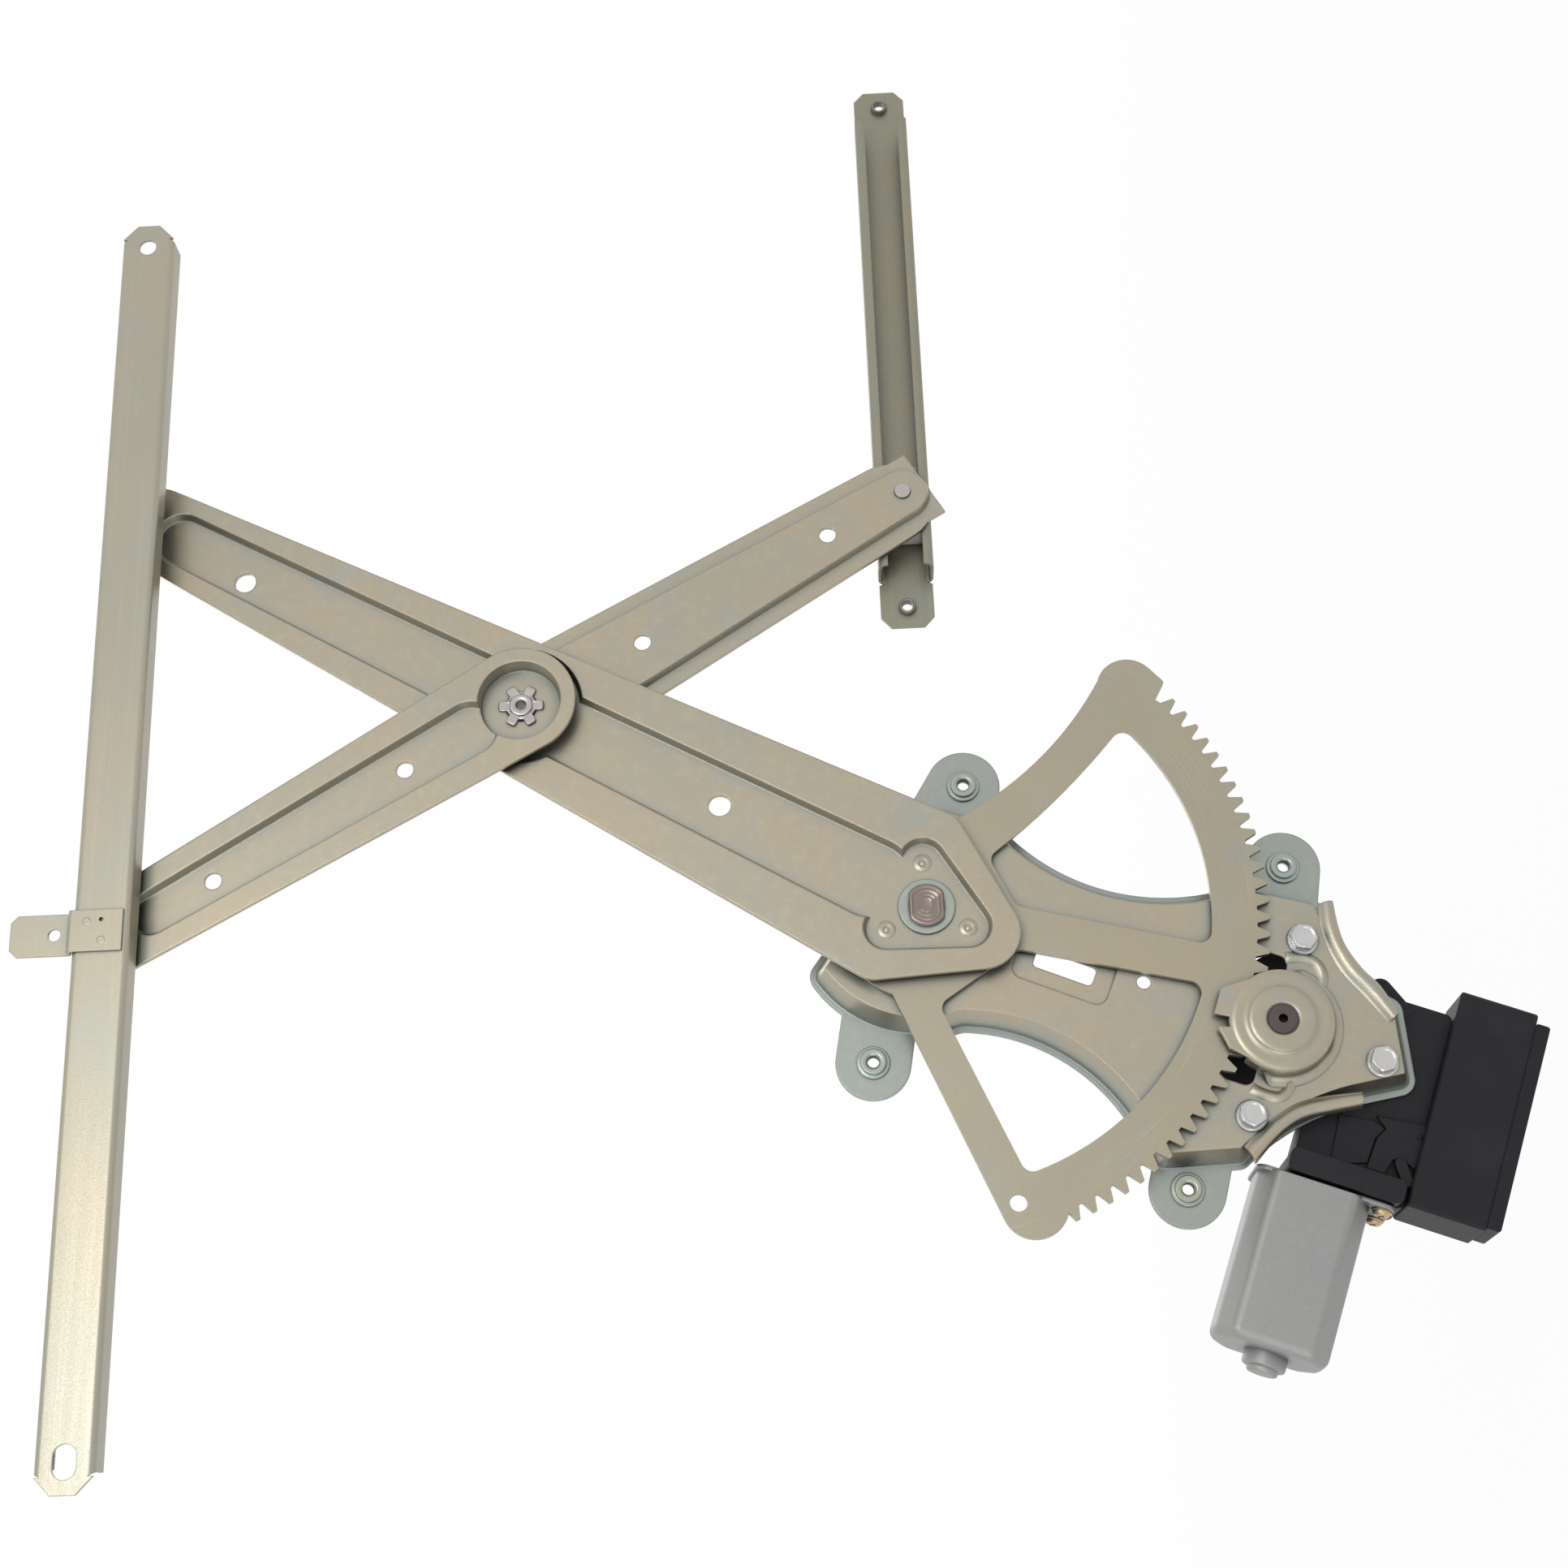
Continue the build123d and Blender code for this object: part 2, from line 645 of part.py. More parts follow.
# Base plate: a pressed plate whose body stands forward of its edge ledge and its four nut ears
cap_centre = pinion_centre
slot_centre = (-27.0, -56.5)
slot_angle = -113.0
slot_size = (26.0, 8.0)
slot_surround = (42.0, 22.0)
plate_hole = (-35.1, -88.9)
plate_hole_diameter = 5.8
pinion_window_radius = 17.0
tooth_window = (58.0, 14.0)
tooth_window_centre = polar(tip_radius - 1.0, pinion_angle)
ledge_width = 1.8
bend_inset = plate_draw * tan(radians(plate_taper))


def plate_outline(inset):
    """The plate body's outline without its ears, drawn in by an inset."""
    with BuildSketch(mode=Mode.PRIVATE) as outline:
        with BuildLine():
            Line((54.0, -4.0), (44.0, -32.0))
            ThreePointArc((44.0, -32.0), (6.4, -91.0), (10.0, -136.0))
            Line((10.0, -136.0), (1.0, -168.0))
            Line((1.0, -168.0), (-22.0, -176.0))
            ThreePointArc((-22.0, -176.0), (-36.0, -184.0), (-45.0, -197.0))
            Line((-45.0, -197.0), (-84.0, -199.0))
            Line((-84.0, -199.0), (-88.0, -176.0))
            ThreePointArc((-88.0, -176.0), (-95.5, -151.0), (-113.0, -125.0))
            Line((-113.0, -125.0), (-114.0, -87.0))
            ThreePointArc((-114.0, -87.0), (-63.0, -52.0), (-50.0, -13.0))
            ThreePointArc((-50.0, -13.0), (-47.0, 27.0), (-23.0, 52.0))
            Line((-23.0, 52.0), (54.0, -4.0))
        make_face()
        fillet(outline.vertices(), 7.0)
        offset(amount=-inset)
    return outline.sketch


with BuildPart() as base_plate:
    with BuildSketch(level(ear_back)):
        add(plate_outline(0.01))
    extrude(amount=plate_sheet)
    for ear_tip, ear_root in zip(nut_positions, ear_roots):
        with BuildSketch(level(ear_back)):
            with Locations(ear_tip, ear_root):
                Circle(ear_radius)
            make_hull()
        extrude(amount=plate_sheet)
    loft(Sketch() + [
        level(ear_back) * plate_outline(ledge_width),
        level(plate_front) * plate_outline(ledge_width + bend_inset),
    ])
    loft(Sketch() + [
        level(ear_back) * plate_outline(ledge_width + plate_sheet),
        level(plate_back) * plate_outline(ledge_width + bend_inset + plate_sheet),
    ], mode=Mode.SUBTRACT)
    with BuildSketch(level(plate_back)):
        with Locations(main_pivot):
            Circle(pivot_pin_radius)
        with Locations(plate_hole):
            Circle(plate_hole_diameter / 2)
        with Locations(*bolt_positions):
            Circle(bolt_shank_radius)
        with Locations(slot_centre):
            RectangleRounded(*slot_size, 2.0, rotation=slot_angle)
        with Locations(cap_centre):
            Circle(pinion_window_radius)
        with Locations(tooth_window_centre):
            RectangleRounded(*tooth_window, 4.0, rotation=pinion_angle + 90)
    extrude(amount=plate_sheet, mode=Mode.SUBTRACT)
    with BuildSketch(level(plate_front)):
        with Locations(slot_centre):
            RectangleRounded(*slot_surround, 5.0, rotation=slot_angle)
            RectangleRounded(*slot_size, 2.0, rotation=slot_angle, mode=Mode.SUBTRACT)
    extrude(amount=-plate_sheet / 2, mode=Mode.SUBTRACT)
    with BuildSketch(level(ear_back)):
        with Locations(*nut_positions):
            Circle(nut_thread_radius)
    extrude(amount=plate_sheet, mode=Mode.SUBTRACT)
    with BuildSketch(level(plate_back)):
        with Locations(cap_centre):
            Circle(cap_radius)
            Circle(cap_radius - plate_sheet, mode=Mode.SUBTRACT)
        with Locations(main_pivot):
            Circle(tip_radius + 1.5, mode=Mode.SUBTRACT)
    extrude(amount=cap_top - plate_back)
    with BuildSketch(level(cap_top - plate_sheet)):
        with Locations(cap_centre):
            Circle(cap_radius)
        with BuildLine():
            Polyline((-52.0, -115.5), (-41.0, -119.5), (-36.5, -137.0), (-60.0, -143.0), (-52.0, -115.5))
        make_face()
        with BuildLine():
            Polyline((-57.5, -116.5), (-67.0, -120.5), (-77.0, -137.0), (-60.0, -143.0), (-57.5, -116.5))
        make_face()
    extrude(amount=plate_sheet)
    with BuildSketch(level(cap_top)):
        with Locations(cap_centre):
            Circle(cap_disc_radius)
    extrude(amount=cap_step)
    with BuildSketch(level(cap_top - plate_sheet)):
        with Locations(cap_centre):
            Circle(pinion_shaft_diameter / 2 + pivot_clearance)
    extrude(amount=plate_sheet + cap_step, mode=Mode.SUBTRACT)
base_plate.part.label = "base_plate"
export_step(base_plate.part, "parts/base_plate.step")


# Main pivot: a headed pin through the plate, the sector and the arm, staked over a washer
washer_back = lift_front + 0.3
washer_front = washer_back + pivot_washer_thickness
with BuildPart() as main_pivot_pin:
    with BuildSketch(level(plate_back - pivot_head_thickness)):
        Circle(pivot_head_radius)
    extrude(amount=pivot_head_thickness)
    with BuildSketch(level(plate_back)):
        Circle(pivot_pin_radius)
    extrude(amount=washer_front - plate_back)
    with BuildSketch(level(washer_front)):
        Circle(pivot_end_width / 2)
        Rectangle(pivot_end_width, pivot_end_flat, mode=Mode.INTERSECT)
    extrude(amount=pivot_end_height)
    chamfer(main_pivot_pin.faces().sort_by(Axis.Y)[0].edges(), 0.9)
main_pivot_pin.part.label = "main_pivot_pin"
export_step(main_pivot_pin.part, "parts/main_pivot_pin.step")

with BuildPart() as pivot_washer:
    with BuildSketch(level(washer_back)):
        Circle(pivot_washer_radius)
        Circle(pivot_pin_radius, mode=Mode.SUBTRACT)
    extrude(amount=pivot_washer_thickness)
pivot_washer.part.label = "pivot_washer"
export_step(pivot_washer.part, "parts/pivot_washer.step")


# Weld nuts on the ears and flange bolts on the motor side
for number, position in enumerate(nut_positions, 1):
    with BuildPart() as weld_nut:
        with BuildSketch(level(ear_front)):
            with Locations(position):
                Circle(nut_flange_radius)
        extrude(amount=nut_flange_thickness)
        with BuildSketch(level(ear_front)):
            with Locations(position):
                Circle(nut_collar_radius - 1.0)
        extrude(amount=nut_height)
        chamfer(weld_nut.faces().sort_by(Axis.Y)[0].edges(), 0.6)
        with BuildSketch(level(ear_front)):
            with Locations(position):
                Circle(nut_thread_radius)
        extrude(amount=nut_height, mode=Mode.SUBTRACT)
    weld_nut.part.label = f"weld_nut_{number}"
    export_step(weld_nut.part, f"parts/weld_nut_{number}.step")

for number, position in enumerate(bolt_positions, 1):
    with BuildPart() as flange_bolt:
        with BuildSketch(level(plate_front)):
            with Locations(position):
                Circle(bolt_flange_radius)
        extrude(amount=bolt_flange_thickness)
        with BuildSketch(level(plate_front + bolt_flange_thickness)):
            with Locations(position):
                RegularPolygon(bolt_hex_width / 2, 6, major_radius=False, rotation=20.0 * number)
        extrude(amount=bolt_head_height)
        with BuildSketch(level(plate_front)):
            with Locations(position):
                Circle(bolt_shank_radius)
        extrude(amount=-bolt_length)
    flange_bolt.part.label = f"flange_bolt_{number}"
    export_step(flange_bolt.part, f"parts/flange_bolt_{number}.step")


# Drive pinion: nine involute teeth on a shaft that runs in the housing and the cap
def pinion_tooth(angle):
    """One pinion tooth from root to tip and back, with involute flanks."""
    base_radius = pinion_pitch_radius * cos(radians(pressure_angle))
    thickness = gear_module * (pi / 2 + 2 * profile_shift * tan(radians(pressure_angle))) - backlash
    involute_at_pitch = tan(radians(pressure_angle)) - radians(pressure_angle)
    half_angle = thickness / (2 * pinion_pitch_radius) + involute_at_pitch
    steps = 5
    flank = []
    for step in range(steps):
        radius = base_radius + (pinion_tip_radius - base_radius) * step / (steps - 1)
        roll = acos(base_radius / radius)
        flank.append((radius, half_angle - (tan(roll) - roll)))
    root_half = half_angle * 0.92
    upper = [polar(pinion_root_radius - 0.3, angle + degrees(root_half))]
    upper += [polar(radius, angle + degrees(turn)) for radius, turn in flank]
    lower = [polar(radius, angle - degrees(turn)) for radius, turn in flank[::-1]]
    lower += [polar(pinion_root_radius - 0.3, angle - degrees(root_half))]
    return upper + lower


# The tooth gap of the pinion that faces the sector meets one sector tooth in the middle
nearest = round((first_tooth_angle - pinion_angle) / tooth_pitch)
mesh_offset = (first_tooth_angle - nearest * tooth_pitch) - pinion_angle
pinion_step = 360 / pinion_teeth
pinion_phase = pinion_angle + 180 + pinion_step / 2 - mesh_offset * full_teeth / pinion_teeth
pinion_back = plate_back + 0.4
pinion_shaft_back = plate_back - 18.0
pinion_shaft_front = cap_top + cap_step + 1.0
with BuildPart() as drive_pinion:
    with BuildSketch(local_level(pinion_centre, 0, pinion_back)):
        Circle(pinion_root_radius)
        for index in range(pinion_teeth):
            with BuildLine():
                Polyline(*pinion_tooth(pinion_phase + index * pinion_step), close=True)
            make_face()
    extrude(amount=pinion_face_width - 1.2)
    with BuildSketch(level(pinion_shaft_back)):
        with Locations(pinion_centre):
            Circle(pinion_shaft_diameter / 2)
    extrude(amount=pinion_shaft_front - pinion_shaft_back)
    chamfer(drive_pinion.faces().sort_by(Axis.Y)[0].edges(), 0.5)
    with BuildSketch(level(pinion_shaft_front)):
        with Locations(pinion_centre):
            Circle(pinion_centre_hole / 2)
    extrude(amount=-6.0, mode=Mode.SUBTRACT)
drive_pinion.part.label = "drive_pinion"
export_step(drive_pinion.part, "parts/drive_pinion.step")


# Gear housing: the worm-wheel drum, the worm tube and the block that carries the electronics
def motor_level(depth):
    """The drive's own sketch plane: x along the motor's axis, y across towards the module."""
    return local_level(pinion_centre, motor_angle, depth)


housing_back = housing_front - housing_depth
housing_shoulder = ear_back - 0.5
bolt_points = [motor_level(0).to_local_coords(Vector(x, 0, z)) for x, z in bolt_positions]
bolt_locals = [(point.X, point.Y) for point in bolt_points]
with BuildPart() as gear_housing:
    with BuildSketch(motor_level(housing_back)):
        Circle(housing_wheel_radius - 2.0)
        with Locations(*bolt_locals):
            Circle(housing_lug_radius)
        make_hull()
        with Locations((12.0, 45.0)):
            RectangleRounded(86.0, 48.0, 3.0)
    extrude(amount=housing_shoulder - housing_back)
    with BuildSketch(motor_level(housing_back)):
        with Locations((50.0, 43.0)):
            RectangleRounded(10.0, 48.0, 3.0)
    extrude(amount=housing_block_front - housing_back)
    with BuildSketch(motor_level(housing_shoulder)):
        Circle(housing_neck_radius)
        with Locations(*bolt_locals):
            Circle(housing_lug_radius)
    extrude(amount=housing_front - housing_shoulder)
    with BuildSketch(level(housing_front)):
        with Locations(*bolt_positions):
            Circle(bolt_shank_radius)
    extrude(amount=-bolt_length, mode=Mode.SUBTRACT)
    with BuildSketch(level(housing_front)):
        with Locations(pinion_centre):
            Circle(pinion_shaft_diameter / 2 + pivot_clearance)
    extrude(amount=-(housing_front - pinion_shaft_back) - 0.5, mode=Mode.SUBTRACT)
gear_housing.part.label = "gear_housing"
export_step(gear_housing.part, "parts/gear_housing.step")


# Motor: a deep-drawn can with flat faces, a mounting flange, an end boss and two flange screws
def motor_end(distance):
    """A plane across the motor's axis at a distance from the pinion, x across, y in depth."""
    origin = motor_level(can_axis_depth).from_local_coords((distance, motor_offset, 0))
    return Plane(origin=origin, x_dir=motor_level(0).y_dir, z_dir=motor_level(0).x_dir)


with BuildPart() as motor_can:
    with BuildSketch(motor_end(can_start)):
        with Locations((4.0, 0)):
            RectangleRounded(58.0, 32.0, 5.0)
    extrude(amount=can_flange_thickness)
    with BuildSketch(motor_end(can_start)):
        RectangleRounded(can_width, can_thickness, 11.0)
    extrude(amount=can_length)
    fillet(motor_can.faces().sort_by(Axis((0, 0, 0), motor_level(0).x_dir))[-1].edges(), 4.0)
motor_can.part.label = "motor_can"
export_step(motor_can.part, "parts/motor_can.step")

with BuildPart() as bearing_boss:
    with BuildSketch(motor_end(can_start + can_length)):
        Circle(can_boss_radius)
    extrude(amount=can_boss_length)
    chamfer(bearing_boss.faces().sort_by(Axis((0, 0, 0), motor_level(0).x_dir))[-1].edges(), 1.0)
bearing_boss.part.label = "motor_bearing_boss"
export_step(bearing_boss.part, "parts/motor_bearing_boss.step")

for number, height in enumerate((9.0, -9.0), 1):
    with BuildPart() as can_screw:
        with BuildSketch(motor_end(can_start + can_flange_thickness)):
            with Locations((28.5, height)):
                Circle(screw_radius)
        extrude(amount=screw_thickness)
        chamfer(can_screw.faces().sort_by(Axis((0, 0, 0), motor_level(0).x_dir))[-1].edges(), 1.0)
    can_screw.part.label = f"can_screw_{number}"
    export_step(can_screw.part, f"parts/can_screw_{number}.step")


# Control module: a case with an end cover, and a connector socket that faces the back
module_back = module_front - module_depth
module_middle = module_start + module_length / 2
case_width = module_width - module_cover_width
with BuildPart() as module_case:
    with BuildSketch(motor_level(module_back)):
        with Locations((module_middle, module_near + case_width / 2)):
            RectangleRounded(module_length, case_width, 1.2)
    extrude(amount=module_depth)
    chamfer(module_case.faces().sort_by(Axis.Y)[0].edges(), 1.0)
module_case.part.label = "module_case"
export_step(module_case.part, "parts/module_case.step")

with BuildPart() as module_cover:
    with BuildSketch(motor_level(module_back + 1.5)):
        with Locations((module_middle + 1.0, module_near + case_width + module_cover_width / 2)):
            RectangleRounded(module_length - 5.0, module_cover_width, 1.2)
    extrude(amount=module_depth - 3.0)
module_cover.part.label = "module_cover"
export_step(module_cover.part, "parts/module_cover.step")

socket_size = (34.0, 20.0)
socket_depth = 14.0
socket_wall = 1.8
socket_floor = 2.0
socket_pin = 0.8
socket_pin_length = 6.0
socket_pin_pitch = (5.0, 6.0)
socket_pin_columns = 5
socket_pin_rows = 2
with BuildPart() as connector_socket:
    with BuildSketch(motor_level(module_back)):
        with Locations((module_middle + 18.0, module_near + case_width / 2)):
            RectangleRounded(*socket_size, 2.0)
    extrude(amount=-socket_depth)
    with BuildSketch(motor_level(module_back - socket_floor)):
        with Locations((module_middle + 18.0, module_near + case_width / 2)):
            RectangleRounded(socket_size[0] - 2 * socket_wall, socket_size[1] - 2 * socket_wall, 1.0)
    extrude(amount=-socket_depth, mode=Mode.SUBTRACT)
    with BuildSketch(motor_level(module_back - socket_floor)):
        with Locations((module_middle + 18.0, module_near + case_width / 2)):
            with GridLocations(*socket_pin_pitch, socket_pin_columns, socket_pin_rows):
                Rectangle(socket_pin, socket_pin)
    extrude(amount=-socket_pin_length)
connector_socket.part.label = "connector_socket"
export_step(connector_socket.part, "parts/connector_socket.step")
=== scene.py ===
import json
import logging
import math
from dataclasses import dataclass, field
from enum import Enum
from typing import Callable, Sequence

import bmesh
import bpy
from mathutils import Matrix, Vector


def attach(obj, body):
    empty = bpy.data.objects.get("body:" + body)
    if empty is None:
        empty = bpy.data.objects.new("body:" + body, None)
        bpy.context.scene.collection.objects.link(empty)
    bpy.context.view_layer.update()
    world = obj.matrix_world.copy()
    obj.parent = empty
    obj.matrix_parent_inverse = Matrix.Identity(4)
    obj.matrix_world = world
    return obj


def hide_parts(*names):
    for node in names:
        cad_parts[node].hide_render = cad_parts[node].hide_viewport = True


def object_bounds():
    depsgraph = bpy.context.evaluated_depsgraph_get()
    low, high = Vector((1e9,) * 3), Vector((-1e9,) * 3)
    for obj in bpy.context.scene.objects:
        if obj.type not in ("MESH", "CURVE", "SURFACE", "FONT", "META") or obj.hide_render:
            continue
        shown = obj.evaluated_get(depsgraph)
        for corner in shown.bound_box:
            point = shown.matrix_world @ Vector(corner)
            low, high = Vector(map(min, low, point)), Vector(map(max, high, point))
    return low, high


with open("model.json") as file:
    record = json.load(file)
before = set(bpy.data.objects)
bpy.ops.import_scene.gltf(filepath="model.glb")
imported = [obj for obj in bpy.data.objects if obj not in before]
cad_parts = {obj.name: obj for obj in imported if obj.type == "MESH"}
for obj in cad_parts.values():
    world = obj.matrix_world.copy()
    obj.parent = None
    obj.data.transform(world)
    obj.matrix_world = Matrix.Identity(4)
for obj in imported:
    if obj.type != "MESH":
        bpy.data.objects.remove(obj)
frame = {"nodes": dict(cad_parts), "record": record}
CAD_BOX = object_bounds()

log = logging.getLogger("window_regulator")

Colour = tuple[float, float, float]
Point = tuple[float, float]
Radius = float | Callable[[float], float]
Ring = list[bmesh.types.BMVert]

# Noise features for each metre of surface, from coarse to fine.
CLOUD_SCALE, PATCH_SCALE, DUST_SCALE, MARK_SCALE = 16.0, 34.0, 38.0, 260.0
TEXTURE_SCALE, GRAIN_SCALE = 1100.0, 1500.0
# The same along X, Y and Z on drawn steel, and outwards across the rings on turned steel.
DRAWN_SCALE, TURNED_SCALE = (9.0, 700.0, 700.0), 1600.0
# The radii in metres between which the toothed rim's scuffs begin.
SECTOR_RIM = (0.119, 0.126)
# How far a crease is looked for when painting shade into it, on steel and on plastic.
STEEL_SHADE_REACH, PLASTIC_SHADE_REACH = 0.009, 0.008
WHITE = (1.0, 1.0, 1.0, 1.0)


def shade(colour: Colour, factor: float) -> Colour:
    """A colour made darker or lighter, up to white."""
    return tuple(min(1.0, c * factor) for c in colour)


def clamp(share: float) -> float:
    """A share kept between 0 and 1."""
    return max(0.0, min(1.0, share))


def full_turn(steps: int, offset: float = 0.0) -> list[float]:
    """Evenly spaced angles once round, in radians, starting an offset of a step from 0."""
    return [2 * math.pi * (k + offset) / steps for k in range(steps)]


def quarter_turn(steps: int) -> list[float]:
    """Evenly spaced angles from 0 to a right angle, in radians, both ends included."""
    return [math.pi / 2 * k / steps for k in range(steps + 1)]


class Value:
    """A number socket in a shader, with arithmetic that adds Math nodes."""

    def __init__(self, graph: "Graph", socket: bpy.types.NodeSocket) -> None:
        """Wraps a socket of a graph."""
        self.graph = graph
        self.socket = socket

    def _math(self, operation: str, *terms: "Value | float") -> "Value":
        """Adds one Math node.

        Args:
            operation: the Math node's operation.
            terms: its inputs in order.

        Returns:
            The node's output.
        """
        node = self.graph.node("ShaderNodeMath", {"operation": operation}, dict(enumerate(terms)))
        return Value(self.graph, node.outputs[0])

    def __add__(self, other: "Value | float") -> "Value":
        """Sum."""
        return self._math("ADD", self, other)

    def __radd__(self, other: float) -> "Value":
        """Reflected sum."""
        return self._math("ADD", other, self)

    def __sub__(self, other: "Value | float") -> "Value":
        """Difference."""
        return self._math("SUBTRACT", self, other)

    def __rsub__(self, other: float) -> "Value":
        """Reflected difference."""
        return self._math("SUBTRACT", other, self)

    def __mul__(self, other: "Value | float") -> "Value":
        """Product."""
        return self._math("MULTIPLY", self, other)

    def __rmul__(self, other: float) -> "Value":
        """Reflected product."""
        return self._math("MULTIPLY", other, self)

    def __pow__(self, other: float) -> "Value":
        """Power."""
        return self._math("POWER", self, other)

    def maximum(self, other: "Value | float") -> "Value":
        """The larger of two."""
        return self._math("MAXIMUM", self, other)

    def angle_to(self, other: "Value") -> "Value":
        """The angle whose tangent is this over other."""
        return self._math("ARCTAN2", self, other)

    def step(self, low: float, high: float) -> "Value":
        """A smooth rise from 0 to 1.

        Args:
            low: the value that gives 0.
            high: the value that gives 1.

        Returns:
            The eased value.
        """
        settings = {"interpolation_type": "SMOOTHSTEP", "clamp": True}
        inputs = {"Value": self, "From Min": low, "From Max": high, "To Min": 0.0, "To Max": 1.0}
        return Value(self.graph, self.graph.node("ShaderNodeMapRange", settings, inputs).outputs[0])


class Graph:
    """A node tree of a material or the world, built through one method for every node."""

    def __init__(self, owner: "bpy.types.Material | bpy.types.World") -> None:
        """Empties the owner's node tree.

        Args:
            owner: the material or the world.
        """
        self.owner = owner
        owner.use_nodes = True
        self.tree = owner.node_tree
        self.tree.nodes.clear()

    def node(self, kind: str, settings: dict, inputs: dict) -> bpy.types.Node:
        """Adds a node: its type, then its settings, then its sockets.

        Args:
            kind: the node's type.
            settings: properties that are set before the sockets are read.
            inputs: values, sockets or Values by socket name or number.

        Returns:
            The node.
        """
        made = self.tree.nodes.new(kind)
        for name, setting in settings.items():
            setattr(made, name, setting)
        for name, given in inputs.items():
            socket = made.inputs[name]
            if isinstance(given, Value):
                self.tree.links.new(given.socket, socket)
            elif isinstance(given, bpy.types.NodeSocket):
                self.tree.links.new(given, socket)
            else:
                socket.default_value = given
        return made

    def position(self) -> bpy.types.NodeSocket:
        """The surface point in metres, in the object's own frame."""
        return self.node("ShaderNodeTexCoord", {}, {}).outputs["Object"]

    def axes(self) -> tuple[Value, Value, Value]:
        """The surface point's X, Y and Z."""
        split = self.node("ShaderNodeSeparateXYZ", {}, {0: self.position()})
        return Value(self, split.outputs[0]), Value(self, split.outputs[1]), Value(self, split.outputs[2])

    def vector(self, x: Value | float, y: Value | float, z: Value | float) -> bpy.types.NodeSocket:
        """Joins three numbers into a vector."""
        return self.node("ShaderNodeCombineXYZ", {}, {0: x, 1: y, 2: z}).outputs[0]

    def stretched(self, scale: Sequence[float]) -> bpy.types.NodeSocket:
        """The surface point, scaled along each axis."""
        settings = {"operation": "MULTIPLY"}
        return self.node("ShaderNodeVectorMath", settings, {0: self.position(), 1: tuple(scale)}).outputs[0]

    def noise(self, vector: bpy.types.NodeSocket, scale: float, detail: float = 3.0) -> Value:
        """Fractal noise between 0 and 1.

        Args:
            vector: where it is read.
            scale: features for each unit of the vector.
            detail: the number of octaves.

        Returns:
            The noise.
        """
        inputs = {"Vector": vector, "Scale": scale, "Detail": detail, "Roughness": 0.55}
        return Value(self, self.node("ShaderNodeTexNoise", {}, inputs).outputs[0])

    def hollow(self, reach: float) -> Value:
        """How far a point is enclosed by nearby metal, from ambient occlusion: the mask for painted shade in
        creases, 0 in the open and 1 deep in a crease.
        """
        open_air = self.node("ShaderNodeAmbientOcclusion", {"samples": 6}, {"Distance": reach}).outputs["AO"]
        return 1.0 - Value(self, open_air)

    def blend(
        self, mask: Value, low: "bpy.types.NodeSocket | Colour", high: "bpy.types.NodeSocket | Colour"
    ) -> bpy.types.NodeSocket:
        """Mixes two colours.

        Args:
            mask: 0 gives low and 1 gives high.
            low: a colour or a colour socket.
            high: a colour or a colour socket.

        Returns:
            The mixed colour.
        """
        inputs = {0: mask}
        for number, given in ((6, low), (7, high)):
            inputs[number] = (*given, 1.0) if isinstance(given, tuple) else given
        return self.node("ShaderNodeMix", {"data_type": "RGBA"}, inputs).outputs[2]

    def bump(self, height: Value, distance: float, edge: float) -> bpy.types.NodeSocket:
        """A normal with fine relief over softened edges.

        Args:
            height: the relief, 0 to 1.
            distance: its depth in metres.
            edge: the radius that edges look rounded to, in metres.

        Returns:
            The normal.
        """
        soft = self.node("ShaderNodeBevel", {"samples": 4}, {"Radius": edge}).outputs[0]
        inputs = {"Strength": 1.0, "Distance": distance, "Height": height, "Normal": soft}
        return self.node("ShaderNodeBump", {}, inputs).outputs[0]

    def background(self) -> Value:
        """Tells which rays should see the white surround: camera, gloss and transmission.

        Returns:
            1 for those rays and 0 for the rest.
        """
        path = self.node("ShaderNodeLightPath", {}, {})
        kinds = ("Is Camera Ray", "Is Glossy Ray", "Is Transmission Ray")
        seen, gloss, through = (Value(self, path.outputs[name]) for name in kinds)
        return seen.maximum(gloss).maximum(through)

    def finish(self, shader: dict) -> bpy.types.Material:
        """Ends a material's tree in a Principled surface.

        Args:
            shader: the surface's inputs by socket name.

        Returns:
            The material.
        """
        surface = self.node("ShaderNodeBsdfPrincipled", {}, shader)
        self.node("ShaderNodeOutputMaterial", {}, {"Surface": surface.outputs[0]})
        return self.owner


class Wear(Enum):
    """How a steel's marks run."""

    CLOUDED = "clouded"
    DRAWN = "drawn"
    SCUFFED = "scuffed"
    TURNED = "turned"


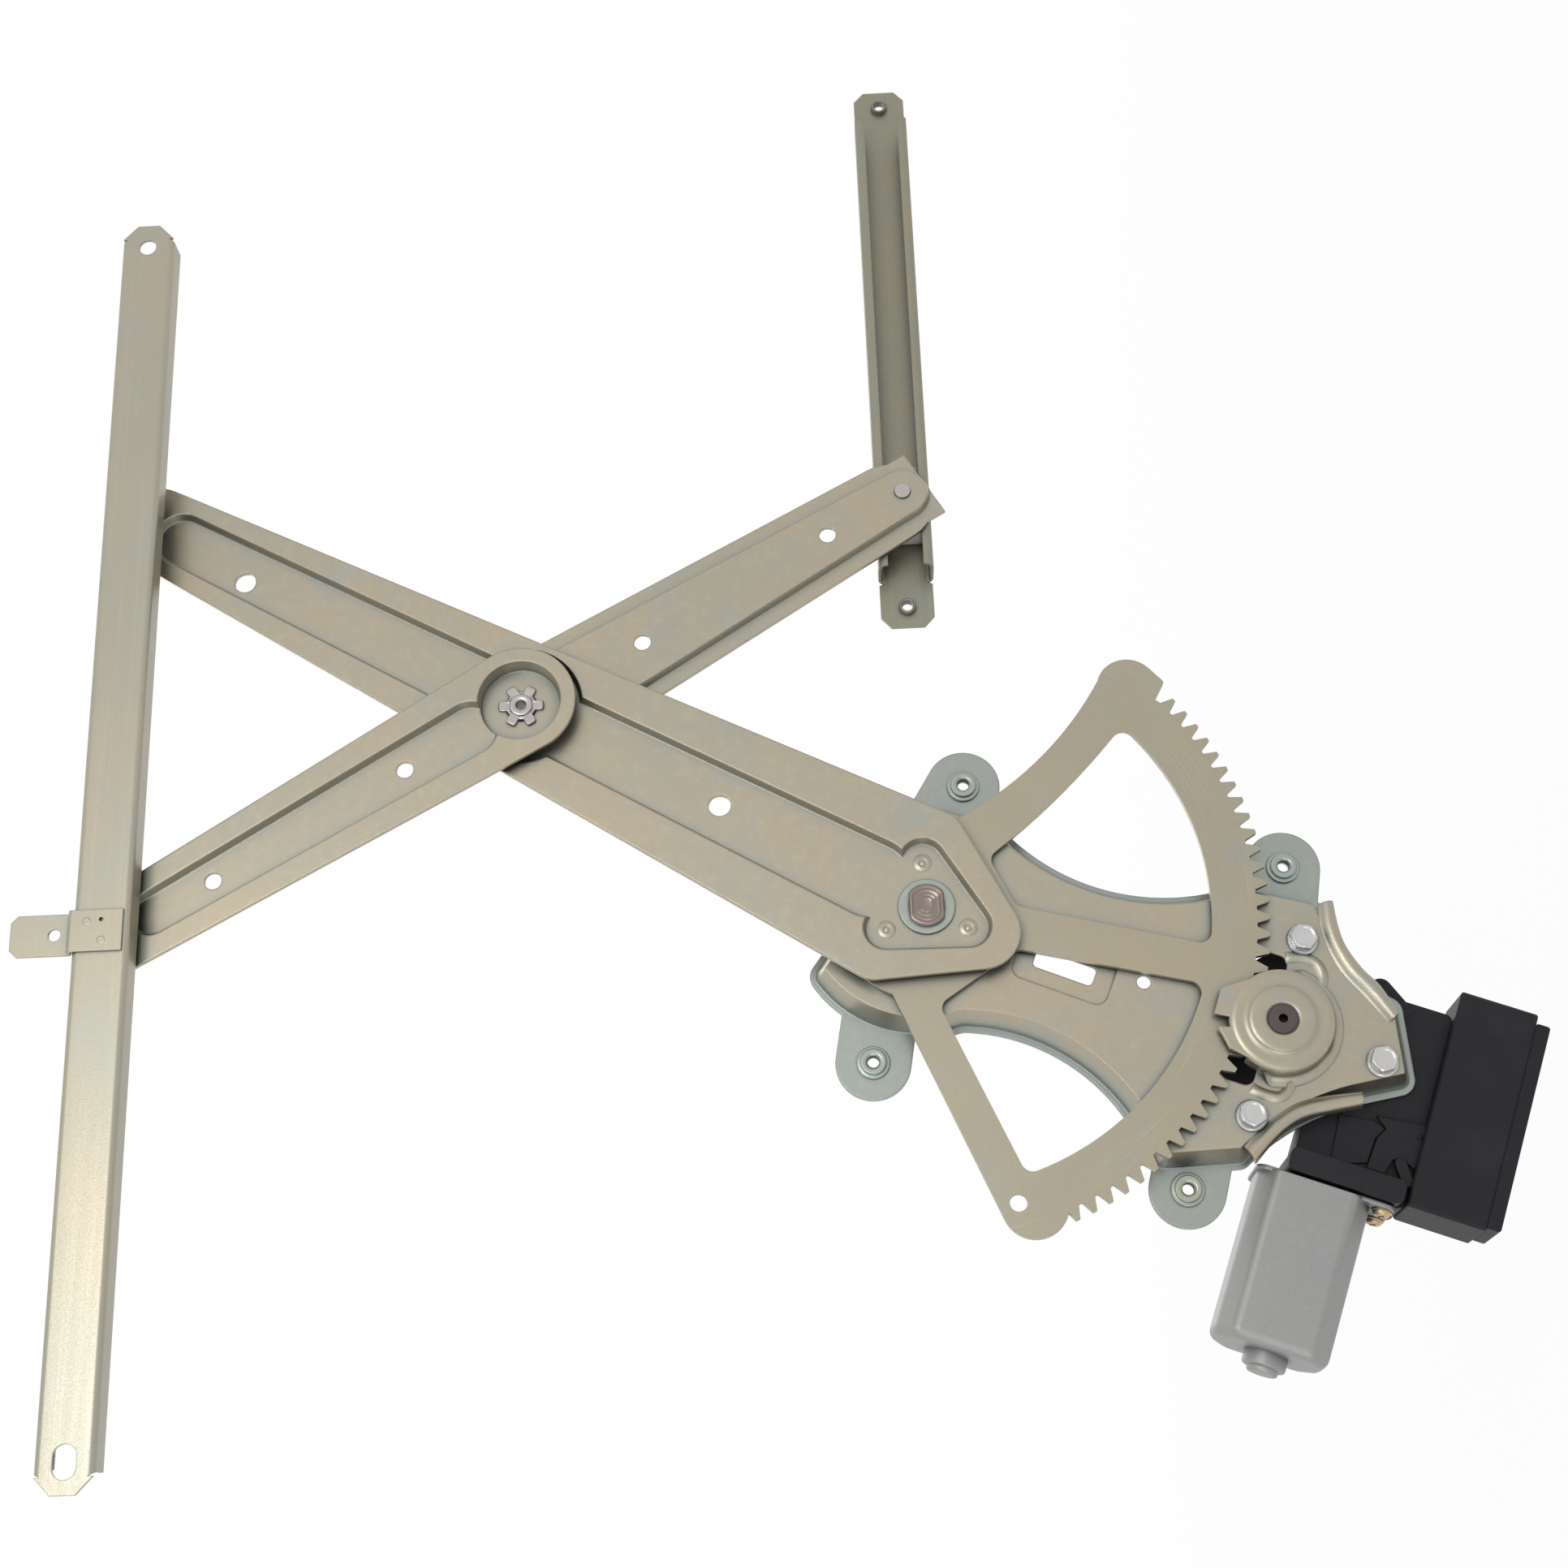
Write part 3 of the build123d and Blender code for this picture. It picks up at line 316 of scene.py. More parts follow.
@dataclass(frozen=True)
class Steel:
    """A plated or bare steel: a clouded colour, painted shade in its creases, a fine grain and marks.

    Attributes:
        name: the material's name.
        colour: the main colour.
        warm: the yellow side of the clouding.
        cool: the blue side of the clouding, which is also painted along folds as a cool shade.
        rough: the mean roughness.
        metal: how metallic it is.
        wear: how its marks run.
        edge: the radius that its edges look rounded to, in metres.
        crease: how strongly painted shade darkens the folds.
        centre: the turning centre in X and Z, in metres.
        deep: the Y in metres from which the cool side begins and where it is full; equal for none.
        streak: how strongly the marks lighten the colour.
        relief: the depth of the grain in metres.
    """

    name: str
    colour: Colour
    warm: Colour
    cool: Colour
    rough: float = 0.42
    metal: float = 0.85
    wear: Wear = Wear.CLOUDED
    edge: float = 0.0006
    crease: float = 0.8
    centre: Point = (0.0, 0.0)
    deep: Point = (0.0, 0.0)
    streak: float = 0.3
    relief: float = 0.00004

    def marks(self, graph: Graph) -> Value:
        """The finish's streaks.

        Args:
            graph: the material's node tree.

        Returns:
            Where they run, 0 to 1.
        """
        if self.wear is Wear.DRAWN:
            return graph.noise(graph.stretched(DRAWN_SCALE), 1.0, 2.0)
        if self.wear in (Wear.SCUFFED, Wear.TURNED):
            x, _, z = graph.axes()
            x, z = x - self.centre[0], z - self.centre[1]
            radius = (x * x + z * z) ** 0.5
            swirl = 2.2 if self.wear is Wear.SCUFFED else 0.4
            turned = graph.vector(radius * TURNED_SCALE, z.angle_to(x) * swirl, 0.0)
            streaks = graph.noise(turned, 1.0, 2.0)
            if self.wear is Wear.TURNED:
                return streaks
            rim = radius.step(*SECTOR_RIM)
            return streaks.step(0.56, 0.72) * rim + 0.35 * (1 - rim)
        return graph.noise(graph.position(), MARK_SCALE, 3.0)

    def material(self) -> bpy.types.Material:
        """Builds the material: each layer lies over the last where its mask, times its strength, is high.

        Returns:
            The material.
        """
        graph = Graph(bpy.data.materials.new(self.name))
        clouds = graph.noise(graph.position(), CLOUD_SCALE, 2.0)
        patches = graph.noise(graph.position(), PATCH_SCALE, 2.0)
        grain = graph.noise(graph.position(), GRAIN_SCALE, 2.0)
        marks = self.marks(graph)
        crease_shade = graph.hollow(STEEL_SHADE_REACH)
        base = graph.blend(clouds.step(0.38, 0.7), self.colour, self.warm)
        base = graph.blend(patches.step(0.45, 0.85) * 0.7, base, self.cool)
        if self.deep[0] < self.deep[1]:
            base = graph.blend(graph.axes()[1].step(*self.deep) * 0.85, base, shade(self.cool, 0.96))
        base = graph.blend(grain.step(0.52, 0.78) * 0.35, base, shade(self.colour, 0.74))
        base = graph.blend(marks.step(0.45, 0.85) * self.streak, base, shade(self.colour, 1.25))
        # Painted shade: a cool tint, then a near-black darkening, where ambient occlusion finds a crease.
        base = graph.blend(crease_shade.step(0.06, 0.35) * 0.6, base, self.cool)
        base = graph.blend(crease_shade.step(0.22, 0.68) * self.crease, base, shade(self.cool, 0.12))
        rough = self.rough + (grain - 0.5) * 0.16 + (marks - 0.5) * 0.12
        return graph.finish({
            "Base Color": base, "Metallic": self.metal, "Roughness": rough,
            "Normal": graph.bump(grain * 0.7 + marks * 0.3, self.relief, self.edge),
        })


@dataclass(frozen=True)
class Plastic:
    """A moulded plastic with a fine spark-eroded texture.

    Attributes:
        name: the material's name.
        colour: the colour.
        worn: the colour of rubbed or dusty places.
        rough: the mean roughness.
        texture: the relief's depth in metres.
        edge: the radius that its edges look rounded to, in metres.
        sheen: how strongly its surface mirrors.
    """

    name: str
    colour: Colour
    worn: Colour
    rough: float = 0.6
    texture: float = 0.00006
    edge: float = 0.0008
    sheen: float = 0.5

    def material(self) -> bpy.types.Material:
        """Builds the material: dust and worn grain over the colour, and painted shade darkening the creases.

        Returns:
            The material.
        """
        graph = Graph(bpy.data.materials.new(self.name))
        grain = graph.noise(graph.position(), TEXTURE_SCALE, 2.0)
        dust = graph.noise(graph.position(), DUST_SCALE, 3.0)
        crease_shade = graph.hollow(PLASTIC_SHADE_REACH)
        base = graph.blend(dust.step(0.48, 0.78) * 0.55, self.colour, self.worn)
        base = graph.blend(grain.step(0.55, 0.8) * 0.3, base, self.worn)
        # Painted shade: darker where ambient occlusion finds a crease.
        base = graph.blend(crease_shade.step(0.2, 0.8) * 0.8, base, shade(self.colour, 0.2))
        return graph.finish({
            "Base Color": base, "Roughness": self.rough + (grain - 0.5) * 0.2,
            "Specular IOR Level": self.sheen,
            "Normal": graph.bump(grain, self.texture, self.edge),
        })


FINISHES = {finish.name: finish for finish in (
    Steel("pressed_zinc", (0.405, 0.372, 0.290), (0.445, 0.380, 0.280), (0.335, 0.375, 0.360), rough=0.36,
          metal=0.92, edge=0.0011, deep=(0.003, 0.0125)),
    Steel("plate_zinc", (0.390, 0.355, 0.270), (0.420, 0.365, 0.260), (0.350, 0.365, 0.330),
          wear=Wear.SCUFFED, edge=0.0003, streak=0.6),
    Steel("rivet_steel", (0.46, 0.44, 0.43), (0.47, 0.42, 0.40), (0.43, 0.45, 0.46), rough=0.34, edge=0.0003,
          relief=0.000015),
    Steel("rail_steel", (0.400, 0.385, 0.310), (0.430, 0.390, 0.300), (0.370, 0.395, 0.360),
          wear=Wear.DRAWN, rough=0.4),
    Steel("channel_steel", (0.290, 0.280, 0.214), (0.318, 0.290, 0.214), (0.268, 0.283, 0.252),
          wear=Wear.DRAWN, rough=0.44),
    Steel("pin_steel", (0.26, 0.215, 0.185), (0.29, 0.225, 0.185), (0.24, 0.225, 0.215), wear=Wear.TURNED,
          rough=0.34, edge=0.0003, relief=0.00002),
    Steel("shaft_steel", (0.105, 0.090, 0.085), (0.12, 0.095, 0.085), (0.10, 0.095, 0.095), rough=0.4,
          edge=0.0003, centre=(-0.0561, -0.1431), wear=Wear.TURNED),
    Steel("can_metal", (0.330, 0.330, 0.320), (0.35, 0.34, 0.325), (0.31, 0.325, 0.335), rough=0.5,
          metal=0.7),
    Steel("gold_screw", (0.52, 0.37, 0.21), (0.58, 0.40, 0.20), (0.50, 0.40, 0.28), rough=0.3, edge=0.0002),
    Steel("nut_zinc", (0.36, 0.40, 0.37), (0.40, 0.40, 0.32), (0.33, 0.40, 0.40), rough=0.34, edge=0.0002),
    Steel("bolt_zinc", (0.56, 0.56, 0.545), (0.58, 0.56, 0.53), (0.54, 0.56, 0.57), rough=0.26, edge=0.0002,
          relief=0.00001),
    Plastic("shoe_plastic", (0.56, 0.56, 0.52), (0.46, 0.45, 0.40), rough=0.5),
    Plastic("black_plastic", (0.009, 0.009, 0.012), (0.022, 0.022, 0.028), rough=0.56, sheen=0.32),
)}


@dataclass
class Palette:
    """The finishes in use, each built once.

    Attributes:
        made: the materials already built, by slot.
    """

    made: dict[str, bpy.types.Material] = field(default_factory=dict)

    def material(self, slot: str) -> bpy.types.Material:
        """The material of a slot, built on first use.

        Args:
            slot: the slot's name.

        Returns:
            The material.
        """
        if slot not in self.made:
            self.made[slot] = FINISHES[slot].material()
        return self.made[slot]

    def dress_nodes(self) -> None:
        """Gives each carried-over node the finish of its slot."""
        for part in frame["record"]["subparts"]:
            node = frame["nodes"][part["node"]]
            node.data.materials.clear()
            node.data.materials.append(self.material(part["material_slot"]))


@dataclass(frozen=True)
class Seat:
    """A local frame, in millimetres, that a piece is built in.

    Attributes:
        origin: where the frame starts.
        across: its first direction.
        along: its second direction.
        out: the direction that the piece rises in.
    """

    origin: Vector
    across: Vector
    along: Vector
    out: Vector

    def point(self, a: float, b: float, c: float) -> Vector:
        """A point of the frame in metres."""
        return (self.origin + self.across * a + self.along * b + self.out * c) * 0.001


def facing(x: float, z: float, depth: float, turn: float = 0.0) -> Seat:
    """A seat that faces the viewer.

    Args:
        x: its X in millimetres.
        z: its Z in millimetres.
        depth: how far it stands towards the viewer.
        turn: its turn about the viewing direction, in degrees.

    Returns:
        The seat.
    """
    c, s = math.cos(math.radians(turn)), math.sin(math.radians(turn))
    return Seat(Vector((x, -depth, z)), Vector((c, 0, s)), Vector((-s, 0, c)), Vector((0, -1, 0)))


def hexagon(across_flats: float, turn: float) -> Callable[[float], float]:
    """A hexagon's radius at each angle."""
    side = math.pi / 3
    return lambda angle: across_flats / 2 / math.cos((angle - math.radians(turn)) % side - math.pi / 6)


def curve_through(points: Sequence[Point], count: int) -> list[Point]:
    """Evenly spread points on a smooth curve through the given ones.

    Args:
        points: the points that the curve goes through.
        count: how many points come back.

    Returns:
        Points on the curve, its ends included.
    """
    ends = [points[0], *points, points[-1]]
    made = []
    for number in range(count):
        place = number / (count - 1) * (len(points) - 1)
        low = min(int(place), len(points) - 2)
        t = place - low
        a, b, c, d = ends[low:low + 4]
        made.append(tuple(
            0.5 * (2 * b[k] + (c[k] - a[k]) * t + (2 * a[k] - 5 * b[k] + 4 * c[k] - d[k]) * t * t
                   + (3 * b[k] - a[k] - 3 * c[k] + d[k]) * t ** 3)
            for k in (0, 1)))
    return made


class Form:
    """A mesh under construction in a seat's frame."""

    def __init__(self, seat: Seat) -> None:
        """Starts an empty form."""
        self.seat = seat
        self.mesh = bmesh.new()

    def ring(self, points: Sequence[tuple[float, float, float]]) -> Ring:
        """Adds a row of corners."""
        return [self.mesh.verts.new(self.seat.point(*point)) for point in points]

    def bridge(self, low: Ring, high: Ring, closed: bool = True) -> None:
        """Joins two rows with a band of faces.

        Args:
            low: one row.
            high: the other row.
            closed: whether the band runs all the way round.
        """
        for number in range(len(low) if closed else len(low) - 1):
            after = (number + 1) % len(low)
            self.mesh.faces.new((low[number], low[after], high[after], high[number]))

    def stack(self, rings: Sequence[Ring], looped: bool = False) -> None:
        """Joins rows in order.

        Args:
            rings: the rows.
            looped: whether the last joins the first; if not, both ends are closed.
        """
        for low, high in zip(rings, rings[1:]):
            self.bridge(low, high)
        if looped:
            self.bridge(rings[-1], rings[0])
        else:
            self.mesh.faces.new(rings[0][::-1])
            self.mesh.faces.new(rings[-1])

    def turned(self, profile: Sequence[tuple[Radius, float]], steps: int = 48, looped: bool = False) -> None:
        """Turns a profile about the seat's axis.

        Args:
            profile: radius and height from first to last, a radius being a number or a function of the angle.
            steps: how many facets go round.
            looped: whether the profile closes on itself, as on a ring.
        """
        rings, angles = [], full_turn(steps)
        for radius, height in profile:
            reach = [radius(angle) if callable(radius) else radius for angle in angles]
            row = [(r * math.cos(a), r * math.sin(a), height) for r, a in zip(reach, angles)]
            rings.append(self.ring(row))
        self.stack(rings, looped)

    def strip(self, rows: Sequence[Sequence[tuple[float, float, float]]]) -> None:
        """Lays an open sheet.

        Args:
            rows: the rows of points that it goes through.
        """
        made = [self.ring(row) for row in rows]
        for low, high in zip(made, made[1:]):
            self.bridge(low, high, closed=False)

    def panel(self, outline: Sequence[Point], holes: Sequence[Sequence[Point]], height: float) -> None:
        """Fills a flat outline that has holes.

        Args:
            outline: the outline's corners.
            holes: each hole's corners.
            height: how high it lies.
        """
        edges = []
        for loop in (outline, *holes):
            corners = self.ring([(a, b, height) for a, b in loop])
            edges += [self.mesh.edges.new(pair) for pair in zip(corners, corners[1:] + corners[:1])]
        bmesh.ops.triangle_fill(self.mesh, use_beauty=True, edges=edges)


@dataclass
class Workshop:
    """Turns forms into pieces of the object.

    Attributes:
        palette: the finishes that the pieces wear.
    """

    palette: Palette

    def piece(
        self, form: Form, name: str, body: str, slot: str, replaces: Sequence[str] = (),
        sheet: float = 0.0, sharp: float = 32.0,
    ) -> None:
        """Finishes a form as a piece.

        Args:
            form: the form.
            name: the piece's name.
            body: the body that it rides on.
            slot: the finish that it wears.
            replaces: the nodes that it stands for.
            sheet: the thickness in millimetres that an open sheet is given.
            sharp: the angle in degrees from which an edge is sharp.
        """
        bmesh.ops.remove_doubles(form.mesh, verts=form.mesh.verts[:], dist=1e-6)
        bmesh.ops.recalc_face_normals(form.mesh, faces=form.mesh.faces[:])
        mesh = bpy.data.meshes.new(name)
        form.mesh.to_mesh(mesh)
        form.mesh.free()
        made = bpy.data.objects.new(name, mesh)
        bpy.context.scene.collection.objects.link(made)
        if sheet:
            solid = made.modifiers.new("sheet", "SOLIDIFY")
            solid.thickness, solid.offset, solid.use_even_offset = sheet * 0.001, 0.0, True
            depsgraph = bpy.context.evaluated_depsgraph_get()
            made.data = bpy.data.meshes.new_from_object(made.evaluated_get(depsgraph))
            made.modifiers.clear()
        for face in made.data.polygons:
            face.use_smooth = True
        made.data.set_sharp_from_angle(angle=math.radians(sharp))
        weighted = made.modifiers.new("flat faces", "WEIGHTED_NORMAL")
        weighted.keep_sharp = True
        made.data.materials.clear()
        made.data.materials.append(self.palette.material(slot))
        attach(made, body)
        if replaces:
            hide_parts(*replaces)
        log.info("%s built on %s", name, body)


def circle(x: float, z: float, radius: float, steps: int = 32) -> list[Point]:
    """The corners of a round hole."""
    return [(x + radius * math.cos(turn), z + radius * math.sin(turn)) for turn in full_turn(steps)]


def slot_hole(x: float, z: float, length: float, width: float) -> list[Point]:
    """The corners of a long hole that runs along X.

    Args:
        x: the X of its middle.
        z: the Z of its middle.
        length: its whole length.
        width: its width.

    Returns:
        The corners in order.
    """
    reach, radius, made = (length - width) / 2, width / 2, []
    for turn in full_turn(32, 0.5):
        end = x + math.copysign(reach, math.cos(turn))
        made.append((end + radius * math.cos(turn), z + radius * math.sin(turn)))
    return made


@dataclass
class Assembly:
    """A group of pieces that one workshop makes.

    Attributes:
        shop: the workshop.
    """

    shop: Workshop


@dataclass
class Channel(Assembly):
    """A rolled C section: a flat web, two rounded folds and two lips, with tapered ends.

    Attributes:
        name: the piece's name.
        body: the body that it rides on.
        finish: the finish's slot.
        line: the Z of its middle.
        width: its outer width.
        web: the depth of the web's middle.
        lips: the depth of the lips' middle.
        lip: how far each lip reaches in.
        low: the X of its lower end.
        high: the X of its upper end.
        nose: how long each chamfered nose is.
        open_ends: how far the walls stop short of the ends.
        slant: how much further back the lips stop than the web's folds.
        holes: the web's holes.
        stands_for: the nodes that it stands for.
        sheet: the sheet's thickness.
        fold: the folds' middle radius.
        inset: how far the web's ends keep inside the outer width.
        run: how far the web takes to widen where the walls end.
    """

    name: str
    body: str
    finish: str
    line: float
    width: float
    web: float
    lips: float
    lip: float
    low: float
    high: float
    nose: float
    open_ends: float
    slant: float
    holes: list[list[Point]]
    stands_for: list[str]
    sheet: float = 1.5
    fold: float = 2.0
    inset: float = 0.4
    run: float = 1.0

    def section(self) -> list[Point]:
        """One side's section from the web's edge to the lip's edge.

        Returns:
            Its points, each as side and depth.
        """
        side = self.width / 2 - self.sheet / 2
        towards = 1.0 if self.lips > self.web else -1.0
        fold, turns = self.fold, quarter_turn(5)
        points = [(side - fold + fold * math.sin(turn), self.web + towards * fold * (1 - math.cos(turn)))
                  for turn in turns]
        points += [(side - fold + fold * math.cos(turn), self.lips - towards * fold * (1 - math.sin(turn)))
                   for turn in turns]
        points.append((self.width / 2 - self.lip, self.lips))
        return points

    def build(self) -> None:
        """Builds the web with its holes and tapered ends, and a wall with its lip on each side."""
        form = Form(Seat(Vector((0, 0, self.line)), Vector((1, 0, 0)), Vector((0, 0, 1)), Vector((0, -1, 0))))
        section = self.section()
        start, stop = self.low + self.open_ends, self.high - self.open_ends
        reach, nose = self.width / 2 - self.inset, self.high - self.nose
        shoulder = [(stop + self.run, reach)] if self.open_ends > self.nose + self.run else [(stop, reach)]
        if shoulder[0][0] != nose:
            shoulder.append((nose, reach))
        corner = [(stop, section[0][0]), *shoulder, (self.high, self.width / 2 - self.nose)]
        mirror = self.low + self.high
        outline = [*corner, *((x, -z) for x, z in corner[::-1])]
        outline += [*((mirror - x, -z) for x, z in corner), *((mirror - x, z) for x, z in corner[::-1])]
        form.panel(outline, self.holes, self.web)
        for side in (1, -1):
            rows = []
            for number, (across, depth) in enumerate(section):
                back = self.slant * number / (len(section) - 1)
                rows.append([(start + back, side * across, depth), (stop - back, side * across, depth)])
            form.strip(rows)
        self.shop.piece(form, self.name, self.body, self.finish, self.stands_for, self.sheet)


@dataclass
class Bracket(Assembly):
    """The glass rail's bracket: a seat on the web, a rounded step and a tab with chamfered corners.

    Attributes:
        line: the Z of the glass rail's middle.
        middle: the X of the bracket's middle.
        front: the depth of the web's front, where it sits.
        drop: how far under the rail's middle it starts.
        half: half its width.
        seat: the seat's length.
        step: how far the tab lies behind the seat.
        tab: the tab's length.
        chamfer: how much the tab's corners are cut.
        sheet: the sheet's thickness.
        fold: the folds' middle radius.
        welds: where the two welds are on the seat.
    """

    line: float
    middle: float = -2.5
    front: float = 30.8
    drop: float = 9.3
    half: float = 9.0
    seat: float = 22.0
    step: float = 5.0
    tab: float = 21.5
    chamfer: float = 3.0
    sheet: float = 1.3
    fold: float = 1.4
    welds: tuple[Point, Point] = ((-4.4, 8.6), (3.9, 15.0))

    def build(self) -> None:
        """Builds the bracket and its welds."""
        base = Seat(Vector((self.middle, -self.front, self.line - self.drop)), Vector((1, 0, 0)),
                    Vector((0, 0, 1)), Vector((0, -1, 0)))
        form = Form(base)
        top, low = self.sheet / 2, self.sheet / 2 - self.step
        step_at = self.seat + self.sheet / 2
        half, fold, turns = self.half, self.fold, quarter_turn(4)
        bends = [(step_at - fold + fold * math.sin(turn), top - fold * (1 - math.cos(turn)))
                 for turn in turns]
        bends += [(step_at + fold * (1 - math.cos(turn)), low + fold * (1 - math.sin(turn)))
                  for turn in turns]
        form.strip([[(-half, b, c), (half, b, c)] for b, c in bends])
        seat_end, tab_start, tab_end = bends[0][0], bends[-1][0], self.seat + self.step + self.tab
        cut = tab_end - self.chamfer
        form.panel([(-half, 0.0), (half, 0.0), (half, seat_end), (-half, seat_end)],
                   [circle(4.6, 9.0, 0.9, 12)], top)
        form.panel([(-half, tab_start), (half, tab_start), (half, cut), (half - self.chamfer, tab_end),
                    (self.chamfer - half, tab_end), (-half, cut)], [circle(0.0, 29.9, 2.6)], low)
        nodes = ["rail_bracket", "rail_bracket_seat"]
        self.shop.piece(form, "rail_bracket_body", "rail", "rail_steel", nodes, self.sheet)
        for number, (a, b) in enumerate(self.welds, 1):
            weld = Form(Seat(base.point(a, b, self.sheet) * 1000, base.across, base.along, base.out))
            weld.turned([(1.9, -0.2), (1.8, 0.02), (1.4, 0.16), (0.8, 0.04), (0.3, 0.08)], 24)
            self.shop.piece(weld, f"bracket_weld_{number}", "rail", "rail_steel")


@dataclass
class Rails(Assembly):
    """The glass rail with its stepped bracket, and the guide channel with its threaded bosses.

    Attributes:
        rail_line: the Z of the glass rail's middle.
        rail_low: the X of the glass rail's lower end.
        rail_high: the X of the glass rail's upper end.
        guide_low: the X of the guide channel's lower end.
        guide_high: the X of the guide channel's upper end.
        boss_inset: how far each boss stands from its end of the guide channel.
        boss_depth: the depth that the bosses rise from.
        thread: the radius of the bosses' bores.
    """

    rail_line: float = 342.946
    rail_low: float = -228.0
    rail_high: float = 340.0
    guide_low: float = 140.0
    guide_high: float = 429.0
    boss_inset: float = 9.5
    boss_depth: float = -17.8
    thread: float = 2.5

    def build(self) -> None:
        """Builds both channels, the bosses and the bracket."""
        strips = [f"{side}_{kind}" for side in ("upper", "lower") for kind in ("wall", "lip")]
        Channel(
            self.shop, "glass_rail_body", "rail", "rail_steel", line=self.rail_line, width=24.0, web=30.05,
            lips=17.55, lip=4.0, low=self.rail_low, high=self.rail_high, nose=7.0, open_ends=7.0, slant=4.0,
            holes=[circle(self.rail_high - 11.5, 0.0, 3.9), slot_hole(self.rail_low + 12.5, 0.0, 13.5, 9.5)],
            stands_for=["glass_rail_web"] + [f"glass_rail_{strip}" for strip in strips],
        ).build()
        bosses = (self.guide_high - self.boss_inset, self.guide_low + self.boss_inset)
        Channel(
            self.shop, "guide_channel_body", "base", "channel_steel", line=0.0, width=25.0, web=-18.55,
            lips=-5.05, lip=4.5, low=self.guide_low, high=self.guide_high, nose=5.0, open_ends=22.0,
            slant=3.0, holes=[circle(x, 0.0, self.thread) for x in bosses],
            stands_for=["guide_channel_web"] + [f"guide_channel_{strip}" for strip in strips],
        ).build()
        collar = [(self.thread, 0.0), (3.8, 0.0), (3.7, 2.4), (3.3, 3.0), (2.9, 3.0), (self.thread, 2.5)]
        for number, x in enumerate(bosses, 1):
            form = Form(facing(x, 0.0, self.boss_depth))
            form.turned(collar, 36, looped=True)
            name = f"guide_boss_collar_{number}"
            self.shop.piece(form, name, "base", "channel_steel", [f"guide_boss_{number}"])
        Bracket(self.shop, self.rail_line).build()


@dataclass
class Fasteners(Assembly):
    """The flange bolts and the weld nuts.

    Attributes:
        bolts: where the bolts are.
        nuts: where the weld nuts are.
        plate_front: the depth of the plate's front, which the bolts stand on.
        ear_front: the depth of the ears' front, which the nuts stand on.
        bolt_hexagon: the bolts' size across flats.
        thread: the radius of the nuts' bores.
        pitch: the nuts' thread pitch, as it is drawn.
    """

    bolts: tuple[Point, ...] = ((-19.8, -156.6), (-73.4, -183.5), (-93.6, -127.8))
    nuts: tuple[Point, ...] = ((60.0, -19.5), (16.3, -154.0), (-61.8, 25.4), (-120.6, -100.7))
    plate_front: float = -0.6
    ear_front: float = -12.6
    bolt_hexagon: float = 10.0
    thread: float = 2.5
    pitch: float = 0.8

    def build(self) -> None:
        """Builds every fastener."""
        for number, (x, z) in enumerate(self.bolts, 1):
            self.bolt(number, x, z)
        for number, (x, z) in enumerate(self.nuts, 1):
            self.nut(number, x, z)

    def bolt(self, number: int, x: float, z: float) -> None:
        """A bolt with a washer flange and a chamfered hexagon, its top plain.

        Args:
            number: its number, which also turns it.
            x: its X.
            z: its Z.
        """
        form = Form(facing(x, z, self.plate_front))
        head = hexagon(self.bolt_hexagon, 20.0 * number)

        def chamfered(limit: float) -> Callable[[float], float]:
            """The hexagon cut back by a cone."""
            return lambda angle: min(head(angle), limit)

        profile = [(3.0, -15.9), (3.0, 0.0), (6.5, 0.0), (6.7, 0.25), (6.7, 0.8), (6.45, 1.15), (5.95, 1.55),
                   (head, 1.6), (head, 4.9), (chamfered(5.5), 5.25), (chamfered(5.05), 5.6), (4.75, 5.78),
                   (4.4, 5.8), (3.9, 5.62), (3.6, 5.4), (0.4, 5.4)]
        form.turned(profile, 72)
        name = f"hexagon_bolt_{number}"
        self.shop.piece(form, name, "base", "bolt_zinc", [f"flange_bolt_{number}"], sharp=24.0)

    def nut(self, number: int, x: float, z: float) -> None:
        """A weld nut: a flat ring, a low collar and a threaded bore.

        Args:
            number: its number.
            x: its X.
            z: its Z.
        """
        form = Form(facing(x, z, self.ear_front))
        profile = [(self.thread, 0.0), (6.9, 0.0), (7.0, 0.2), (7.0, 0.95), (6.75, 1.2), (6.1, 1.25),
                   (5.6, 1.35), (5.55, 2.75), (5.25, 3.15), (4.9, 3.2), (3.8, 3.2), (3.3, 3.05), (2.75, 2.6)]
        for turn in range(3):
            profile += [(self.thread, 2.3 - self.pitch * turn), (2.8, 1.9 - self.pitch * turn)]
        form.turned(profile, 44, looped=True)
        self.shop.piece(form, f"panel_nut_{number}", "base", "nut_zinc", [f"weld_nut_{number}"])


